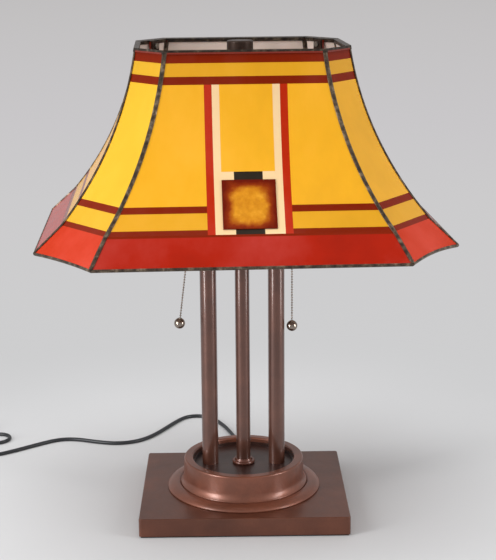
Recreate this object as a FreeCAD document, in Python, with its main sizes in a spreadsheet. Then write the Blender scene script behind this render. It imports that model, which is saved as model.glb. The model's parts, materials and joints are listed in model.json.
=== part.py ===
"""Eight-sided stained glass table lamp, modelled as the pieces that it is assembled from.

Units are millimetres. +Z is up, +X is to the right and -Y faces the viewer. The origin is the
centre of the underside of the base. Every size that can be set by itself is a cell of the sheet
"Lamp"; sketches and primitives are bound to those cells, and the bent glass, the came and the
cord, whose forms no sketch holds well, are worked out from the same cells with Part's functions.
"""
import math
import os

import FreeCAD
import Part
import Sketcher

Vector = FreeCAD.Vector
Placement = FreeCAD.Placement
Rotation = FreeCAD.Rotation
UP = Vector(0, 0, 1)
OUTWARD = Vector(1, 0, 0)
WHOLE_TURN = 360
REACH = 400.0  # longer than any piece, for cutting prisms and untrimmed bars
CLOSE = 0.01  # lengths nearer than this are the same

SIZES = {
    # base plate, felt and ballast
    "base_width": 246, "base_depth": 214, "base_thick": 21.5, "base_corner": 3, "base_edge": 1.2,
    "base_wall": 9, "base_roof": 4, "felt_thick": 2, "felt_inset": 2,
    "ballast_thick": 11, "ballast_gap": 1, "ballast_hole": 44, "ballast_slot": 14,
    # pedestal: foot, bead and ring
    "foot_radius": 93, "foot_seat_radius": 92.4, "foot_seat_round": 1.6, "foot_roll_height": 1.4,
    "foot_round": 9, "shoulder_inset": 4.4, "shoulder_rise": 3.8, "foot_crown_round": 22,
    "foot_top_radius": 79.2, "foot_top_height": 6.8, "groove_depth": 1.2, "bead_reach": 4.4,
    "bead_height": 7.4, "bead_round": 1.4, "cove_height": 8, "cove_round": 12, "cove_reach": 0.6,
    "ring_height": 36.7, "ring_radius": 72.6, "rim_wall": 11, "rim_round": 2,
    "deck_height": 25, "deck_thick": 4, "foot_wall": 6, "under_deck_inset": 4,
    # dish plate inside the ring
    "dish_gap": 0.3, "dish_thick": 3, "dish_lip": 3.4, "dish_lip_wall": 1.7,
    # columns
    "column_spacing": 40.5, "column_radius": 9.9, "column_wall": 1.5, "column_height": 300.5,
    "column_plug": 18, "center_radius": 8.7, "center_wall": 1.5,
    "collar_radius": 12.7, "collar_round": 2.4, "collar_height": 4, "collar_neck": 2.2,
    "collar_neck_height": 6.5, "collar_neck_taper": 0.8, "collar_gap": 0.1,
    # lamp pipe, nuts and screws
    "pipe_radius": 4.75, "pipe_bore": 3.2, "pipe_bottom": 8, "pipe_gap": 0.3, "pipe_top_gap": 4,
    "nut_radius": 9.2, "nut_thick": 5,
    "screw_radius": 2.5, "screw_gap": 0.15, "screw_head_radius": 4.5, "screw_head_thick": 4,
    "screw_length": 15,
    # yoke, cluster body and riser
    "yoke_half_width": 13, "yoke_thick": 8,
    "cluster_radius": 18, "cluster_foot_radius": 15, "cluster_foot_height": 5,
    "cluster_waist_round": 9, "cluster_waist_top": 13, "cluster_top_round": 7,
    "cluster_height": 50, "socket_height": 28,
    "arm_radius": 5.5, "arm_reach": 36, "riser_radius": 6.5, "riser_height": 118,
    # sockets
    "socket_radius": 18, "socket_wall": 1.2, "socket_cap": 14, "socket_length": 56,
    "socket_floor": 16, "core_gap": 0.4, "core_block": 14.7, "screw_shell_radius": 14.6,
    "screw_shell_wall": 1.1, "pull_reach": 59.3, "bell_radius": 4, "bell_length": 12,
    "bell_bore": 2.2,
    # bulbs
    "bulb_base_gap": 0.4, "bulb_contact_radius": 4, "bulb_contact": 1.6, "bulb_shoulder": 1.5,
    "bulb_ball": 22.5, "bulb_length": 50, "bulb_neck": 12.6, "bulb_neck_length": 11.5,
    # pull switches
    "link_radius": 1.3, "link_inside": 12, "link_below": 2, "lever_bore": 2.6, "lever_depth": 9,
    "chain_gap": 0.6, "bead_radius": 1.2, "bead_waist": 0.55, "bead_pitch": 6,
    "left_drop": 128, "right_drop": 131.5, "left_lean": 7.1, "ball_radius": 6.6,
    # shade outline, measured on the outer faces of the glass; drops are below the shade's top
    "shade_turn": 2.62, "rim_above_hub": 18.5, "fold_drop": 183.2, "skirt_height": 28.5,
    "top_half_width": 118.4, "top_half_depth": 100, "flare_top_angle": 8.5,
    "flare_fold_angle": 40, "skirt_run": 30.6,
    "corner_cut_top": 32.2, "corner_cut_fold": 49.8, "corner_cut_bottom": 65,
    "corner_slant": 1.33333, "corner_arch": 4.2,
    # glass and came
    "glass_thick": 3, "came_half_width": 2.2, "came_proud": 1, "rim_proud": 1.5,
    "top_rim_height": 3.2, "top_rim_rise": 1, "bottom_rim_width": 3.4,
    # bands and bars, as drops below the shade's top or rises above its fold, and strips, as
    # distances from the middle of the panel
    "high_band_drop": 12.6, "second_band_drop": 26.6, "second_band_low_drop": 35.1,
    "third_band_rise": 26.6, "third_band_low_rise": 20.1, "low_band_rise": 4.6,
    "strip_red_outer": 44.9, "strip_cream_outer": 36.6, "strip_cream_inner": 28.6,
    "tile_half_width": 15.3, "upper_bar_rise": 59.5, "jewel_rise": 51.2, "jewel_proud": 1.2,
    # spider, seat and finial
    "seat_gap": 0.3, "washer_thick": 1.5, "washer_radius": 13, "hub_radius": 15,
    "spider_thick": 3, "spider_arm_width": 10, "tab_thick": 2, "tab_width": 12,
    "tab_below_rim": 1.6, "lug_width": 14, "lug_thick": 2.4, "lug_height": 12, "lug_sunk": 0.5,
    "tab_screw_radius": 1.5, "tab_screw_head": 3.2, "tab_screw_head_thick": 2,
    "tab_screw_drop": 6.5, "finial_radius": 15, "finial_height": 19.5, "finial_edge": 2,
    "finial_bore_depth": 17,
    # cord and plug
    "cord_radius": 2.5, "cord_exit_height": 9, "grommet_length": 26, "grommet_radius": 5.2,
    "grommet_tip": 3.1, "grommet_seat": 3.9, "grommet_gap": 0.1, "grommet_flange": 4,
    "coil_inner": 19.5, "coil_outer": 39.5, "coil_x": -394, "coil_y": 262, "coil_turn_gap": 15,
    "plug_length": 30, "plug_width": 24, "plug_thick": 13, "plug_round": 3, "plug_relief": 22,
    "relief_wall": 0.6, "relief_inset": 1, "relief_overlap": 2,
    "blade_length": 16, "blade_width": 6.3, "blade_thick": 1.5, "blade_spacing": 12.7,
}

# The cord's route from the end of its strain relief to the coil, on the table unless it is
# coming down to it: (x, y, height of its centre line).
CORD_ROUTE = [
    (0, 133.5, 9), (0, 152, 6.2), (-1.5, 174, 2.6), (-6, 200, 2.6), (-15, 234, 2.6),
    (-27, 270, 2.6), (-44, 300, 2.6), (-62, 309, 2.6), (-80, 305, 2.6), (-93, 287, 2.6),
    (-107, 260, 2.6), (-123, 230, 2.6), (-143, 207, 2.6), (-170, 198, 2.6), (-200, 205, 2.6),
    (-230, 218, 2.6), (-255, 217, 2.6), (-281, 198.5, 2.6), (-305, 179, 2.6), (-330, 161, 2.6),
    (-354, 152, 2.6), (-381, 155, 2.6), (-398, 174, 2.6), (-394, 199, 2.6), (-372, 212, 2.6),
    (-347, 210, 2.6), (-326, 212.5, 2.6), (-320, 224, 2.6), (-326, 235.5, 2.6),
    (-343, 237, 2.6), (-365, 231.5, 2.6), (-385, 226, 2.6),
]

# Heights of the stand's pieces, as expressions on the sheet, from the table up.
PLATE_TOP = "(Lamp.felt_thick + Lamp.base_thick)"
DECK_TOP = f"({PLATE_TOP} + Lamp.deck_height)"
DISH_FLOOR = f"({DECK_TOP} + Lamp.dish_thick)"
YOKE_BOTTOM = f"({DISH_FLOOR} + Lamp.column_height)"
YOKE_TOP = f"({YOKE_BOTTOM} + Lamp.yoke_thick)"
SOCKET_AXIS = f"({YOKE_TOP} + Lamp.socket_height)"
CLUSTER_TOP = f"({YOKE_TOP} + Lamp.cluster_height)"
RISER_BOTTOM = f"({CLUSTER_TOP} + Lamp.nut_thick)"
RISER_TOP = f"({RISER_BOTTOM} + Lamp.riser_height)"
WASHER_BOTTOM = f"({RISER_TOP} + Lamp.nut_thick + Lamp.seat_gap)"
HUB_BOTTOM = f"({WASHER_BOTTOM} + Lamp.washer_thick + Lamp.seat_gap)"
FINIAL_BOTTOM = f"({HUB_BOTTOM} + Lamp.spider_thick + Lamp.seat_gap)"
PIPE_HOLE = "(Lamp.pipe_radius + Lamp.pipe_gap)"
SCREW_HOLE = "(Lamp.screw_radius + Lamp.screw_gap)"

# Heights on the shade, worked out in the sheet: it hangs from its hub.
SHADE_HEIGHTS = {
    "shade_top": f"{HUB_BOTTOM} + Lamp.rim_above_hub",
    "fold_height": "Lamp.shade_top - Lamp.fold_drop",
    "shade_bottom": "Lamp.fold_height - Lamp.skirt_height",
    "high_band_bottom": "Lamp.shade_top - Lamp.high_band_drop",
    "second_band_top": "Lamp.shade_top - Lamp.second_band_drop",
    "second_band_bottom": "Lamp.shade_top - Lamp.second_band_low_drop",
    "upper_bar_top": "Lamp.fold_height + Lamp.upper_bar_rise",
    "jewel_top": "Lamp.fold_height + Lamp.jewel_rise",
    "third_band_top": "Lamp.fold_height + Lamp.third_band_rise",
    "third_band_bottom": "Lamp.fold_height + Lamp.third_band_low_rise",
    "low_band_top": "Lamp.fold_height + Lamp.low_band_rise",
}

doc = FreeCAD.newDocument("StainedGlassLamp")
sheet = doc.addObject("Spreadsheet::Sheet", "Lamp")
cells = dict(SIZES)
for alias, text in SHADE_HEIGHTS.items():
    cells[alias] = "=" + text.replace("Lamp.", "")
for row, (alias, value) in enumerate(cells.items(), start=1):
    sheet.set(f"A{row}", alias)
    sheet.set(f"B{row}", str(value))
    sheet.setAlias(f"B{row}", alias)
doc.recompute()

nodes = []  # the objects that are written out, one file each


def size(alias):
    """A driving dimension, read from the sheet."""
    return float(sheet.get(alias))


# ---------------------------------------------------------------- helpers for bound features

def new_body(label, height="0", reach="0", yaw=0):
    """A body standing at a height, and out along +X or, with a yaw of 180, along -X."""
    body = doc.addObject("PartDesign::Body", label)
    body.Label = label
    body.Placement = Placement(Vector(0, 0, 0), Rotation(UP, yaw))
    sign = "-1" if yaw else "1"
    body.setExpression("Placement.Base.x", f"{sign} * ({reach})")
    body.setExpression("Placement.Base.z", height)
    doc.recompute()
    nodes.append(body)
    return body


def new_sketch(body, role, lift=None):
    """A sketch on one of the body's own origin planes, lifted off it by an expression."""
    plane = next(feature for feature in body.Origin.OriginFeatures if feature.Role == role)
    sketch = body.newObject("Sketcher::SketchObject", body.Label + "_sketch")
    sketch.AttachmentSupport = (plane, [""])
    sketch.MapMode = "FlatFace"
    if lift is not None:
        sketch.setExpression("AttachmentOffset.Base.z", lift)
    return sketch


def pin_point(sketch, item, end, x_text, y_text):
    """Fix a point of a sketch at a place given by two expressions."""
    for kind, axis, text in (("DistanceX", -2, x_text), ("DistanceY", -1, y_text)):
        if text == "0":
            sketch.addConstraint(Sketcher.Constraint("PointOnObject", item, end, axis))
            continue
        value = float(sketch.evalExpression(text))
        index = sketch.addConstraint(Sketcher.Constraint(kind, -1, 1, item, end, value))
        sketch.setExpression(f"Constraints[{index}]", text)


def arc_between(start, finish, radius, bulge_left):
    """The shorter arc of a radius from one point to another, bulging left or right of the way."""
    chord = finish - start
    half = chord.Length / 2
    side = Vector(-chord.y, chord.x, 0).normalize()
    if not bulge_left:
        side = -side
    center = start + chord / 2 - side * math.sqrt(radius * radius - half * half)
    middle = center + side * radius
    return Part.Arc(start, middle, finish)


def trace(sketch, corners):
    """A closed outline. A corner is (x, y), reached by a line, or (x, y, radius, bulge_left),
    reached by an arc. Coordinates and radii are expressions on the sheet."""
    points = []
    for corner in corners:
        x = float(sketch.evalExpression(corner[0]))
        y = float(sketch.evalExpression(corner[1]))
        points.append(Vector(x, y, 0))
    ends = []
    for index, corner in enumerate(corners):
        start, finish = points[index - 1], points[index]
        if len(corner) == 2:
            item = sketch.addGeometry(Part.LineSegment(start, finish), False)
            ends.append((item, 1, 2))
            continue
        radius = float(sketch.evalExpression(corner[2]))
        arc = arc_between(start, finish, radius, corner[3]).toShape().Curve
        edge = Part.ArcOfCircle(*arc_parameters(arc, start, finish, corner[3]))
        item = sketch.addGeometry(edge, False)
        forward = edge.StartPoint.distanceToPoint(start) < edge.StartPoint.distanceToPoint(finish)
        ends.append((item, 1, 2) if forward else (item, 2, 1))
        bound = sketch.addConstraint(Sketcher.Constraint("Radius", item, radius))
        sketch.setExpression(f"Constraints[{bound}]", corner[2])
    for index, corner in enumerate(corners):
        item, _, finish_end = ends[index]
        after, after_start, _ = ends[(index + 1) % len(ends)]
        pair = Sketcher.Constraint("Coincident", item, finish_end, after, after_start)
        sketch.addConstraint(pair)
        pin_point(sketch, item, finish_end, corner[0], corner[1])


def arc_parameters(circle, start, finish, bulge_left):
    """Circle and angles for an arc, which always runs counter-clockwise in a sketch."""
    first, last = (finish, start) if bulge_left else (start, finish)
    plain = Part.Circle(circle.Center, UP, circle.Radius)
    return plain, plain.parameter(first), plain.parameter(last)


def ring_of(sketch, x_text, y_text, radius_text):
    """A circle in a sketch, with its place and radius bound."""
    center = Vector(float(sketch.evalExpression(x_text)), float(sketch.evalExpression(y_text)), 0)
    radius = float(sketch.evalExpression(radius_text))
    item = sketch.addGeometry(Part.Circle(center, UP, radius), False)
    pin_point(sketch, item, 3, x_text, y_text)
    bound = sketch.addConstraint(Sketcher.Constraint("Radius", item, radius))
    sketch.setExpression(f"Constraints[{bound}]", radius_text)


def turned(body, corners, axis="V_Axis"):
    """Revolve an outline drawn on the upright plane about one of that plane's axes."""
    sketch = new_sketch(body, "XZ_Plane")
    trace(sketch, corners)
    feature = body.newObject("PartDesign::Revolution", body.Label + "_turned")
    feature.Profile = sketch
    feature.ReferenceAxis = (sketch, [axis])
    feature.Angle = WHOLE_TURN
    doc.recompute()
    return feature


def padded(body, sketch, length):
    """Pad a sketch upward by an expression."""
    feature = body.newObject("PartDesign::Pad", body.Label + "_pad")
    feature.Profile = sketch
    feature.setExpression("Length", length)
    doc.recompute()
    return feature


def cut_up(body, sketch, length):
    """Cut a sketch upward from its plane, and make sure that it took something away."""
    before = body.Shape.Volume
    feature = body.newObject("PartDesign::Pocket", body.Label + "_cut")
    feature.Profile = sketch
    feature.Reversed = True
    feature.setExpression("Length", length)
    doc.recompute()
    if not body.Shape.Volume < before - CLOSE:
        raise RuntimeError(f"a cut in {body.Label} took nothing away")
    return feature


def softened(body, radius, picks):
    """Round the edges of the body's last feature that a test picks."""
    tip = body.Tip
    names = [f"Edge{i}" for i, edge in enumerate(tip.Shape.Edges, start=1) if picks(edge)]
    feature = body.newObject("PartDesign::Fillet", body.Label + "_round")
    feature.Base = (tip, names)
    feature.setExpression("Radius", radius)
    doc.recompute()
    return feature


def made(label, shape, placement=None):
    """A node whose shape is worked out in code."""
    feature = doc.addObject("Part::Feature", label)
    feature.Label = label
    feature.Shape = shape
    if placement is not None:
        feature.Placement = placement
    nodes.append(feature)
    return feature


def rectangle(sketch, half_width, half_depth):
    """A rectangle about the sketch's origin."""
    trace(sketch, [
        (f"-({half_width})", f"-({half_depth})"), (half_width, f"-({half_depth})"),
        (half_width, half_depth), (f"-({half_width})", half_depth),
    ])


def level(text):
    """The value of an expression on the sheet."""
    return float(sheet.evalExpression(text))


# ---------------------------------------------------------------- base, pedestal and columns

def upright(edge):
    """Whether a straight edge stands upright."""
    return abs(edge.tangentAt(edge.FirstParameter).z) > 0.9


def base():
    """Felt, cast base plate with its recess and cord hole, and the ballast inside it."""
    felt = new_body("felt_pad")
    sketch = new_sketch(felt, "XY_Plane")
    inset = "Lamp.felt_inset"
    rectangle(sketch, f"Lamp.base_width / 2 - {inset}", f"Lamp.base_depth / 2 - {inset}")
    padded(felt, sketch, "Lamp.felt_thick")

    plate = new_body("base_plate", "Lamp.felt_thick")
    sketch = new_sketch(plate, "XY_Plane")
    rectangle(sketch, "Lamp.base_width / 2", "Lamp.base_depth / 2")
    padded(plate, sketch, "Lamp.base_thick")
    softened(plate, "Lamp.base_corner", upright)
    softened(plate, "Lamp.base_edge", lambda edge: edge.BoundBox.ZMin > size("base_thick") - CLOSE)
    sketch = new_sketch(plate, "XY_Plane")
    wall = "Lamp.base_wall"
    rectangle(sketch, f"Lamp.base_width / 2 - {wall}", f"Lamp.base_depth / 2 - {wall}")
    cut_up(plate, sketch, "Lamp.base_thick - Lamp.base_roof")
    sketch = new_sketch(plate, "XY_Plane")
    ring_of(sketch, "0", "0", PIPE_HOLE)
    cut_up(plate, sketch, "Lamp.base_thick")
    before = plate.Shape.Volume
    sketch = new_sketch(plate, "XZ_Plane")
    ring_of(sketch, "0", "Lamp.cord_exit_height - Lamp.felt_thick", "Lamp.grommet_seat")
    hole = plate.newObject("PartDesign::Pocket", "cord_hole")
    hole.Profile = sketch
    hole.setExpression("Length", "Lamp.base_depth")
    hole.Reversed = sketch.getGlobalPlacement().Rotation.multVec(UP).y > 0
    doc.recompute()
    if not plate.Shape.Volume < before - CLOSE:
        raise RuntimeError("the cord hole is missing")

    ballast = new_body("ballast_weight", f"{PLATE_TOP} - Lamp.base_roof - Lamp.ballast_thick")
    sketch = new_sketch(ballast, "XY_Plane")
    margin = "Lamp.base_wall - Lamp.ballast_gap"
    rectangle(sketch, f"Lamp.base_width / 2 - {margin}", f"Lamp.base_depth / 2 - {margin}")
    padded(ballast, sketch, "Lamp.ballast_thick")
    sketch = new_sketch(ballast, "XY_Plane")
    ring_of(sketch, "0", "0", "Lamp.ballast_hole / 2")
    cut_up(ballast, sketch, "Lamp.ballast_thick")
    sketch = new_sketch(ballast, "XY_Plane")
    half_slot = "Lamp.ballast_slot / 2"
    trace(sketch, [
        (f"-({half_slot})", "0"), (half_slot, "0"),
        (half_slot, "Lamp.base_depth / 2"), (f"-({half_slot})", "Lamp.base_depth / 2"),
    ])
    cut_up(ballast, sketch, "Lamp.ballast_thick")


def screw_holes(body, length):
    """Two screw holes, one under each side column."""
    for side in ("-1", "1"):
        sketch = new_sketch(body, "XY_Plane")
        ring_of(sketch, f"{side} * Lamp.column_spacing", "0", SCREW_HOLE)
        cut_up(body, sketch, length)


def pedestal():
    """The turned foot and ring, the dish plate in it and the collar of the middle column."""
    ring = new_body("pedestal_ring", PLATE_TOP)
    bead = "Lamp.ring_radius + Lamp.bead_reach"
    inner = "Lamp.ring_radius - Lamp.rim_wall"
    turned(ring, [
        ("Lamp.foot_seat_radius", "0"),
        ("Lamp.foot_radius", "Lamp.foot_roll_height", "Lamp.foot_seat_round", False),
        ("Lamp.foot_radius - Lamp.shoulder_inset",
         "Lamp.foot_roll_height + Lamp.shoulder_rise", "Lamp.foot_round", False),
        ("Lamp.foot_top_radius", "Lamp.foot_top_height", "Lamp.foot_crown_round", False),
        (bead, "Lamp.foot_top_height - Lamp.groove_depth"),
        (f"{bead} - Lamp.bead_round / 2", "Lamp.bead_height", "Lamp.bead_round", False),
        ("Lamp.ring_radius + Lamp.cove_reach", "Lamp.bead_height + Lamp.cove_height",
         "Lamp.cove_round", True),
        ("Lamp.ring_radius", "Lamp.ring_height - Lamp.rim_round"),
        ("Lamp.ring_radius - Lamp.rim_round", "Lamp.ring_height", "Lamp.rim_round", False),
        (f"{inner} + Lamp.rim_round", "Lamp.ring_height"),
        (inner, "Lamp.ring_height - Lamp.rim_round", "Lamp.rim_round", False),
        (inner, "Lamp.deck_height"),
        (PIPE_HOLE, "Lamp.deck_height"),
        (PIPE_HOLE, "Lamp.deck_height - Lamp.deck_thick"),
        (f"{inner} + Lamp.under_deck_inset", "Lamp.deck_height - Lamp.deck_thick"),
        (f"{inner} + Lamp.foot_wall", "Lamp.foot_top_height"),
        ("Lamp.foot_seat_radius - Lamp.foot_wall", "0"),
    ])
    screw_holes(ring, "Lamp.deck_height")

    dish = new_body("dish_plate", DECK_TOP)
    outer = f"{inner} - Lamp.dish_gap"
    lip_inner = f"{outer} - Lamp.dish_lip_wall"
    turned(dish, [
        (PIPE_HOLE, "0"), (outer, "0"), (outer, "Lamp.dish_thick + Lamp.dish_lip"),
        (lip_inner, "Lamp.dish_thick + Lamp.dish_lip"), (lip_inner, "Lamp.dish_thick"),
        (PIPE_HOLE, "Lamp.dish_thick"),
    ])
    screw_holes(dish, "Lamp.dish_thick")

    collar = new_body("column_collar", DISH_FLOOR)
    bore = "Lamp.center_radius + Lamp.collar_gap"
    turned(collar, [
        (bore, "0"), ("Lamp.collar_radius", "0"),
        ("Lamp.collar_radius", "Lamp.collar_height", "Lamp.collar_round", False),
        (f"{bore} + Lamp.collar_neck", "Lamp.collar_height"),
        (f"{bore} + Lamp.collar_neck - Lamp.collar_neck_taper", "Lamp.collar_neck_height"),
        (bore, "Lamp.collar_neck_height"),
    ])


def columns():
    """Two tapped side columns, the plain middle tube and the yoke across their tops."""
    for label, side in (("column_left", "-1"), ("column_right", "1")):
        column = new_body(label, DISH_FLOOR, f"{side} * Lamp.column_spacing")
        bore = "Lamp.column_radius - Lamp.column_wall"
        turned(column, [
            (SCREW_HOLE, "0"), ("Lamp.column_radius", "0"),
            ("Lamp.column_radius", "Lamp.column_height"), (SCREW_HOLE, "Lamp.column_height"),
            (SCREW_HOLE, "Lamp.column_height - Lamp.column_plug"),
            (bore, "Lamp.column_height - Lamp.column_plug"), (bore, "Lamp.column_plug"),
            (SCREW_HOLE, "Lamp.column_plug"),
        ])
    middle = new_body("column_center", DISH_FLOOR)
    bore = "Lamp.center_radius - Lamp.center_wall"
    turned(middle, [
        (bore, "0"), ("Lamp.center_radius", "0"), ("Lamp.center_radius", "Lamp.column_height"),
        (bore, "Lamp.column_height"),
    ])
    yoke = new_body("column_yoke", YOKE_BOTTOM)
    sketch = new_sketch(yoke, "XY_Plane")
    half = "Lamp.yoke_half_width"
    trace(sketch, [
        ("-Lamp.column_spacing", f"-{half}", half, False),
        ("Lamp.column_spacing", f"-{half}"),
        ("Lamp.column_spacing + Lamp.yoke_half_width", "0", half, False),
        ("Lamp.column_spacing", half, half, False),
        ("-Lamp.column_spacing", half),
        ("-Lamp.column_spacing - Lamp.yoke_half_width", "0", half, False),
    ])
    padded(yoke, sketch, "Lamp.yoke_thick")
    sketch = new_sketch(yoke, "XY_Plane")
    ring_of(sketch, "0", "0", PIPE_HOLE)
    cut_up(yoke, sketch, "Lamp.yoke_thick")
    screw_holes(yoke, "Lamp.yoke_thick")


def joined(label, parts):
    """One node that holds several separate solids of a kind."""
    group = doc.addObject("Part::Compound", label)
    group.Label = label
    group.Links = parts
    doc.recompute()
    nodes.append(group)
    return group


def fastenings():
    """The threaded lamp pipe, its nuts, and the screws that hold the side columns."""
    pipe = new_body("lamp_pipe", "Lamp.pipe_bottom")
    top = f"{FINIAL_BOTTOM} + Lamp.finial_bore_depth - Lamp.pipe_top_gap"
    turned(pipe, [
        ("Lamp.pipe_bore", "0"), ("Lamp.pipe_radius", "0"),
        ("Lamp.pipe_radius", f"{top} - Lamp.pipe_bottom"),
        ("Lamp.pipe_bore", f"{top} - Lamp.pipe_bottom"),
    ])
    nuts = []
    for place in (f"{PLATE_TOP} - Lamp.base_roof - Lamp.nut_thick", CLUSTER_TOP, RISER_TOP):
        hexagon = doc.addObject("Part::Prism", "nut_hexagon")
        hexagon.Polygon = 6
        hexagon.setExpression("Circumradius", "Lamp.nut_radius")
        hexagon.setExpression("Height", "Lamp.nut_thick")
        bore = doc.addObject("Part::Cylinder", "nut_bore")
        bore.setExpression("Radius", PIPE_HOLE)
        bore.setExpression("Height", "Lamp.nut_thick")
        nut = doc.addObject("Part::Cut", "nut")
        nut.Base, nut.Tool = hexagon, bore
        nut.setExpression("Placement.Base.z", place)
        nuts.append(nut)
    joined("pipe_nuts", nuts)
    screws = []
    for side in ("-1", "1"):
        for place, upside_down in ((f"{DECK_TOP} - Lamp.deck_thick", False), (YOKE_TOP, True)):
            head = doc.addObject("Part::Cylinder", "screw_head")
            head.setExpression("Radius", "Lamp.screw_head_radius")
            head.setExpression("Height", "Lamp.screw_head_thick")
            head.setExpression("Placement.Base.z", "-Lamp.screw_head_thick")
            shank = doc.addObject("Part::Cylinder", "screw_shank")
            shank.setExpression("Radius", "Lamp.screw_radius")
            shank.setExpression("Height", "Lamp.screw_length")
            screw = doc.addObject("Part::Fuse", "screw")
            screw.Base, screw.Tool = head, shank
            screw.Placement.Rotation = Rotation(Vector(1, 0, 0), 180 if upside_down else 0)
            screw.setExpression("Placement.Base.x", f"{side} * Lamp.column_spacing")
            screw.setExpression("Placement.Base.z", place)
            screws.append(screw)
    joined("column_screws", screws)


def cluster():
    """The turned cluster body with its two socket arms, and the riser sleeve above it."""
    hub = new_body("cluster_body", YOKE_TOP)
    foot, full = "Lamp.cluster_foot_radius", "Lamp.cluster_radius"
    edge = "Lamp.cluster_top_round"
    turned(hub, [
        ("0", "0"), (foot, "0"), (foot, "Lamp.cluster_foot_height"),
        (full, "Lamp.cluster_waist_top", "Lamp.cluster_waist_round", False),
        (full, f"Lamp.cluster_height - {edge}"),
        (f"{full} - {edge}", "Lamp.cluster_height", edge, False),
        ("0", "Lamp.cluster_height"),
    ])
    sketch = new_sketch(hub, "YZ_Plane")
    ring_of(sketch, "0", "Lamp.socket_height", "Lamp.arm_radius")
    arms = hub.newObject("PartDesign::Pad", "socket_arms")
    arms.Profile = sketch
    arms.SideType = "Symmetric"
    arms.setExpression("Length", "2 * Lamp.arm_reach")
    doc.recompute()
    sketch = new_sketch(hub, "XY_Plane")
    ring_of(sketch, "0", "0", PIPE_HOLE)
    cut_up(hub, sketch, "Lamp.cluster_height")

    sleeve = new_body("riser_sleeve", RISER_BOTTOM)
    turned(sleeve, [
        (PIPE_HOLE, "0"), ("Lamp.riser_radius", "0"), ("Lamp.riser_radius", "Lamp.riser_height"),
        (PIPE_HOLE, "Lamp.riser_height"),
    ])


# ---------------------------------------------------------------- sockets, bulbs and switches

SOCKET_END = "(Lamp.arm_reach + Lamp.socket_length)"
CORE_START = "(Lamp.arm_reach + Lamp.socket_floor + Lamp.core_gap)"
CORE_FLOOR = f"({CORE_START} + Lamp.core_block)"
SHELL_BORE = "(Lamp.socket_radius - Lamp.socket_wall)"
THREAD_BORE = "(Lamp.screw_shell_radius - Lamp.screw_shell_wall)"
LINK_BOTTOM = "(Lamp.socket_radius + Lamp.bell_length + Lamp.link_below)"
PIVOT = f"({SOCKET_AXIS} - {LINK_BOTTOM})"


def socket_side(name, yaw):
    """Everything that belongs to one socket, pointing along +X or, with a yaw of 180, -X."""
    shell = new_body(f"socket_shell_{name}", SOCKET_AXIS, yaw=yaw)
    turned(shell, [
        ("Lamp.arm_reach", "0"), ("Lamp.arm_reach + Lamp.socket_floor", "0"),
        ("Lamp.arm_reach + Lamp.socket_floor", SHELL_BORE),
        (SOCKET_END, SHELL_BORE), (SOCKET_END, "Lamp.socket_radius"),
        ("Lamp.arm_reach + Lamp.socket_cap", "Lamp.socket_radius"),
        ("Lamp.arm_reach", "Lamp.socket_radius / 2", "Lamp.socket_cap", False),
    ], "H_Axis")
    bell_bottom = "-Lamp.socket_radius - Lamp.bell_length"
    sketch = new_sketch(shell, "XY_Plane", bell_bottom)
    ring_of(sketch, "Lamp.pull_reach", "0", "Lamp.bell_radius")
    padded(shell, sketch, "Lamp.bell_length + 0.6 * Lamp.socket_wall")
    sketch = new_sketch(shell, "XY_Plane", bell_bottom)
    ring_of(sketch, "Lamp.pull_reach", "0", "Lamp.bell_bore")
    cut_up(shell, sketch, "Lamp.bell_length + 2.5 * Lamp.socket_wall")

    base_start = f"({CORE_FLOOR} + Lamp.bulb_base_gap)"
    metal = new_body(f"bulb_base_{name}", SOCKET_AXIS, yaw=yaw)
    outer = f"({THREAD_BORE} - Lamp.bulb_base_gap)"
    turned(metal, [
        (base_start, "0"), (SOCKET_END, "0"), (SOCKET_END, outer),
        (f"{base_start} + Lamp.bulb_contact + Lamp.bulb_shoulder", outer),
        (f"{base_start} + Lamp.bulb_contact", "Lamp.bulb_contact_radius"),
        (base_start, "Lamp.bulb_contact_radius"),
    ], "H_Axis")
    glass = new_body(f"bulb_glass_{name}", SOCKET_AXIS, yaw=yaw)
    ball = "Lamp.bulb_ball"
    to_center = f"(Lamp.bulb_length - {ball} - Lamp.bulb_neck_length)"
    turned(glass, [
        (SOCKET_END, "0"), (f"{SOCKET_END} + Lamp.bulb_length", "0"),
        (f"{SOCKET_END} + Lamp.bulb_neck_length", f"sqrt({ball} ^ 2 - {to_center} ^ 2)",
         ball, False),
        (SOCKET_END, "Lamp.bulb_neck"),
    ], "H_Axis")

    link = new_body(f"pull_link_{name}", PIVOT, "Lamp.pull_reach", yaw)
    length = f"{LINK_BOTTOM} - Lamp.link_inside"
    turned(link, [
        ("0", "0"), ("Lamp.link_radius", "0"), ("Lamp.link_radius", length), ("0", length),
    ])


def socket_cores():
    """The insulating blocks with their screw shells, one inside each socket."""
    cores = []
    for yaw in (0, 180):
        core = new_body("socket_core", SOCKET_AXIS, yaw=yaw)
        nodes.remove(core)
        outer = f"({SHELL_BORE} - Lamp.core_gap)"
        turned(core, [
            (CORE_START, "0"), (CORE_FLOOR, "0"), (CORE_FLOOR, THREAD_BORE),
            (f"{SOCKET_END} - 1", THREAD_BORE), (f"{SOCKET_END} - 1", "Lamp.screw_shell_radius"),
            (CORE_FLOOR, "Lamp.screw_shell_radius"), (CORE_FLOOR, outer), (CORE_START, outer),
        ], "H_Axis")
        sketch = new_sketch(core, "XY_Plane", "-Lamp.socket_radius")
        ring_of(sketch, "Lamp.pull_reach", "0", "Lamp.lever_bore")
        cut_up(core, sketch, "Lamp.socket_radius - Lamp.lever_depth + 1")
        cores.append(core)
    joined("socket_cores", cores)


def hexagon_at(height, radius):
    """A six-sided section of a chain."""
    corners = []
    for number in range(7):
        angle = math.tau * number / 6
        corners.append(Vector(radius * math.cos(angle), radius * math.sin(angle), height))
    return Part.makePolygon(corners)


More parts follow.
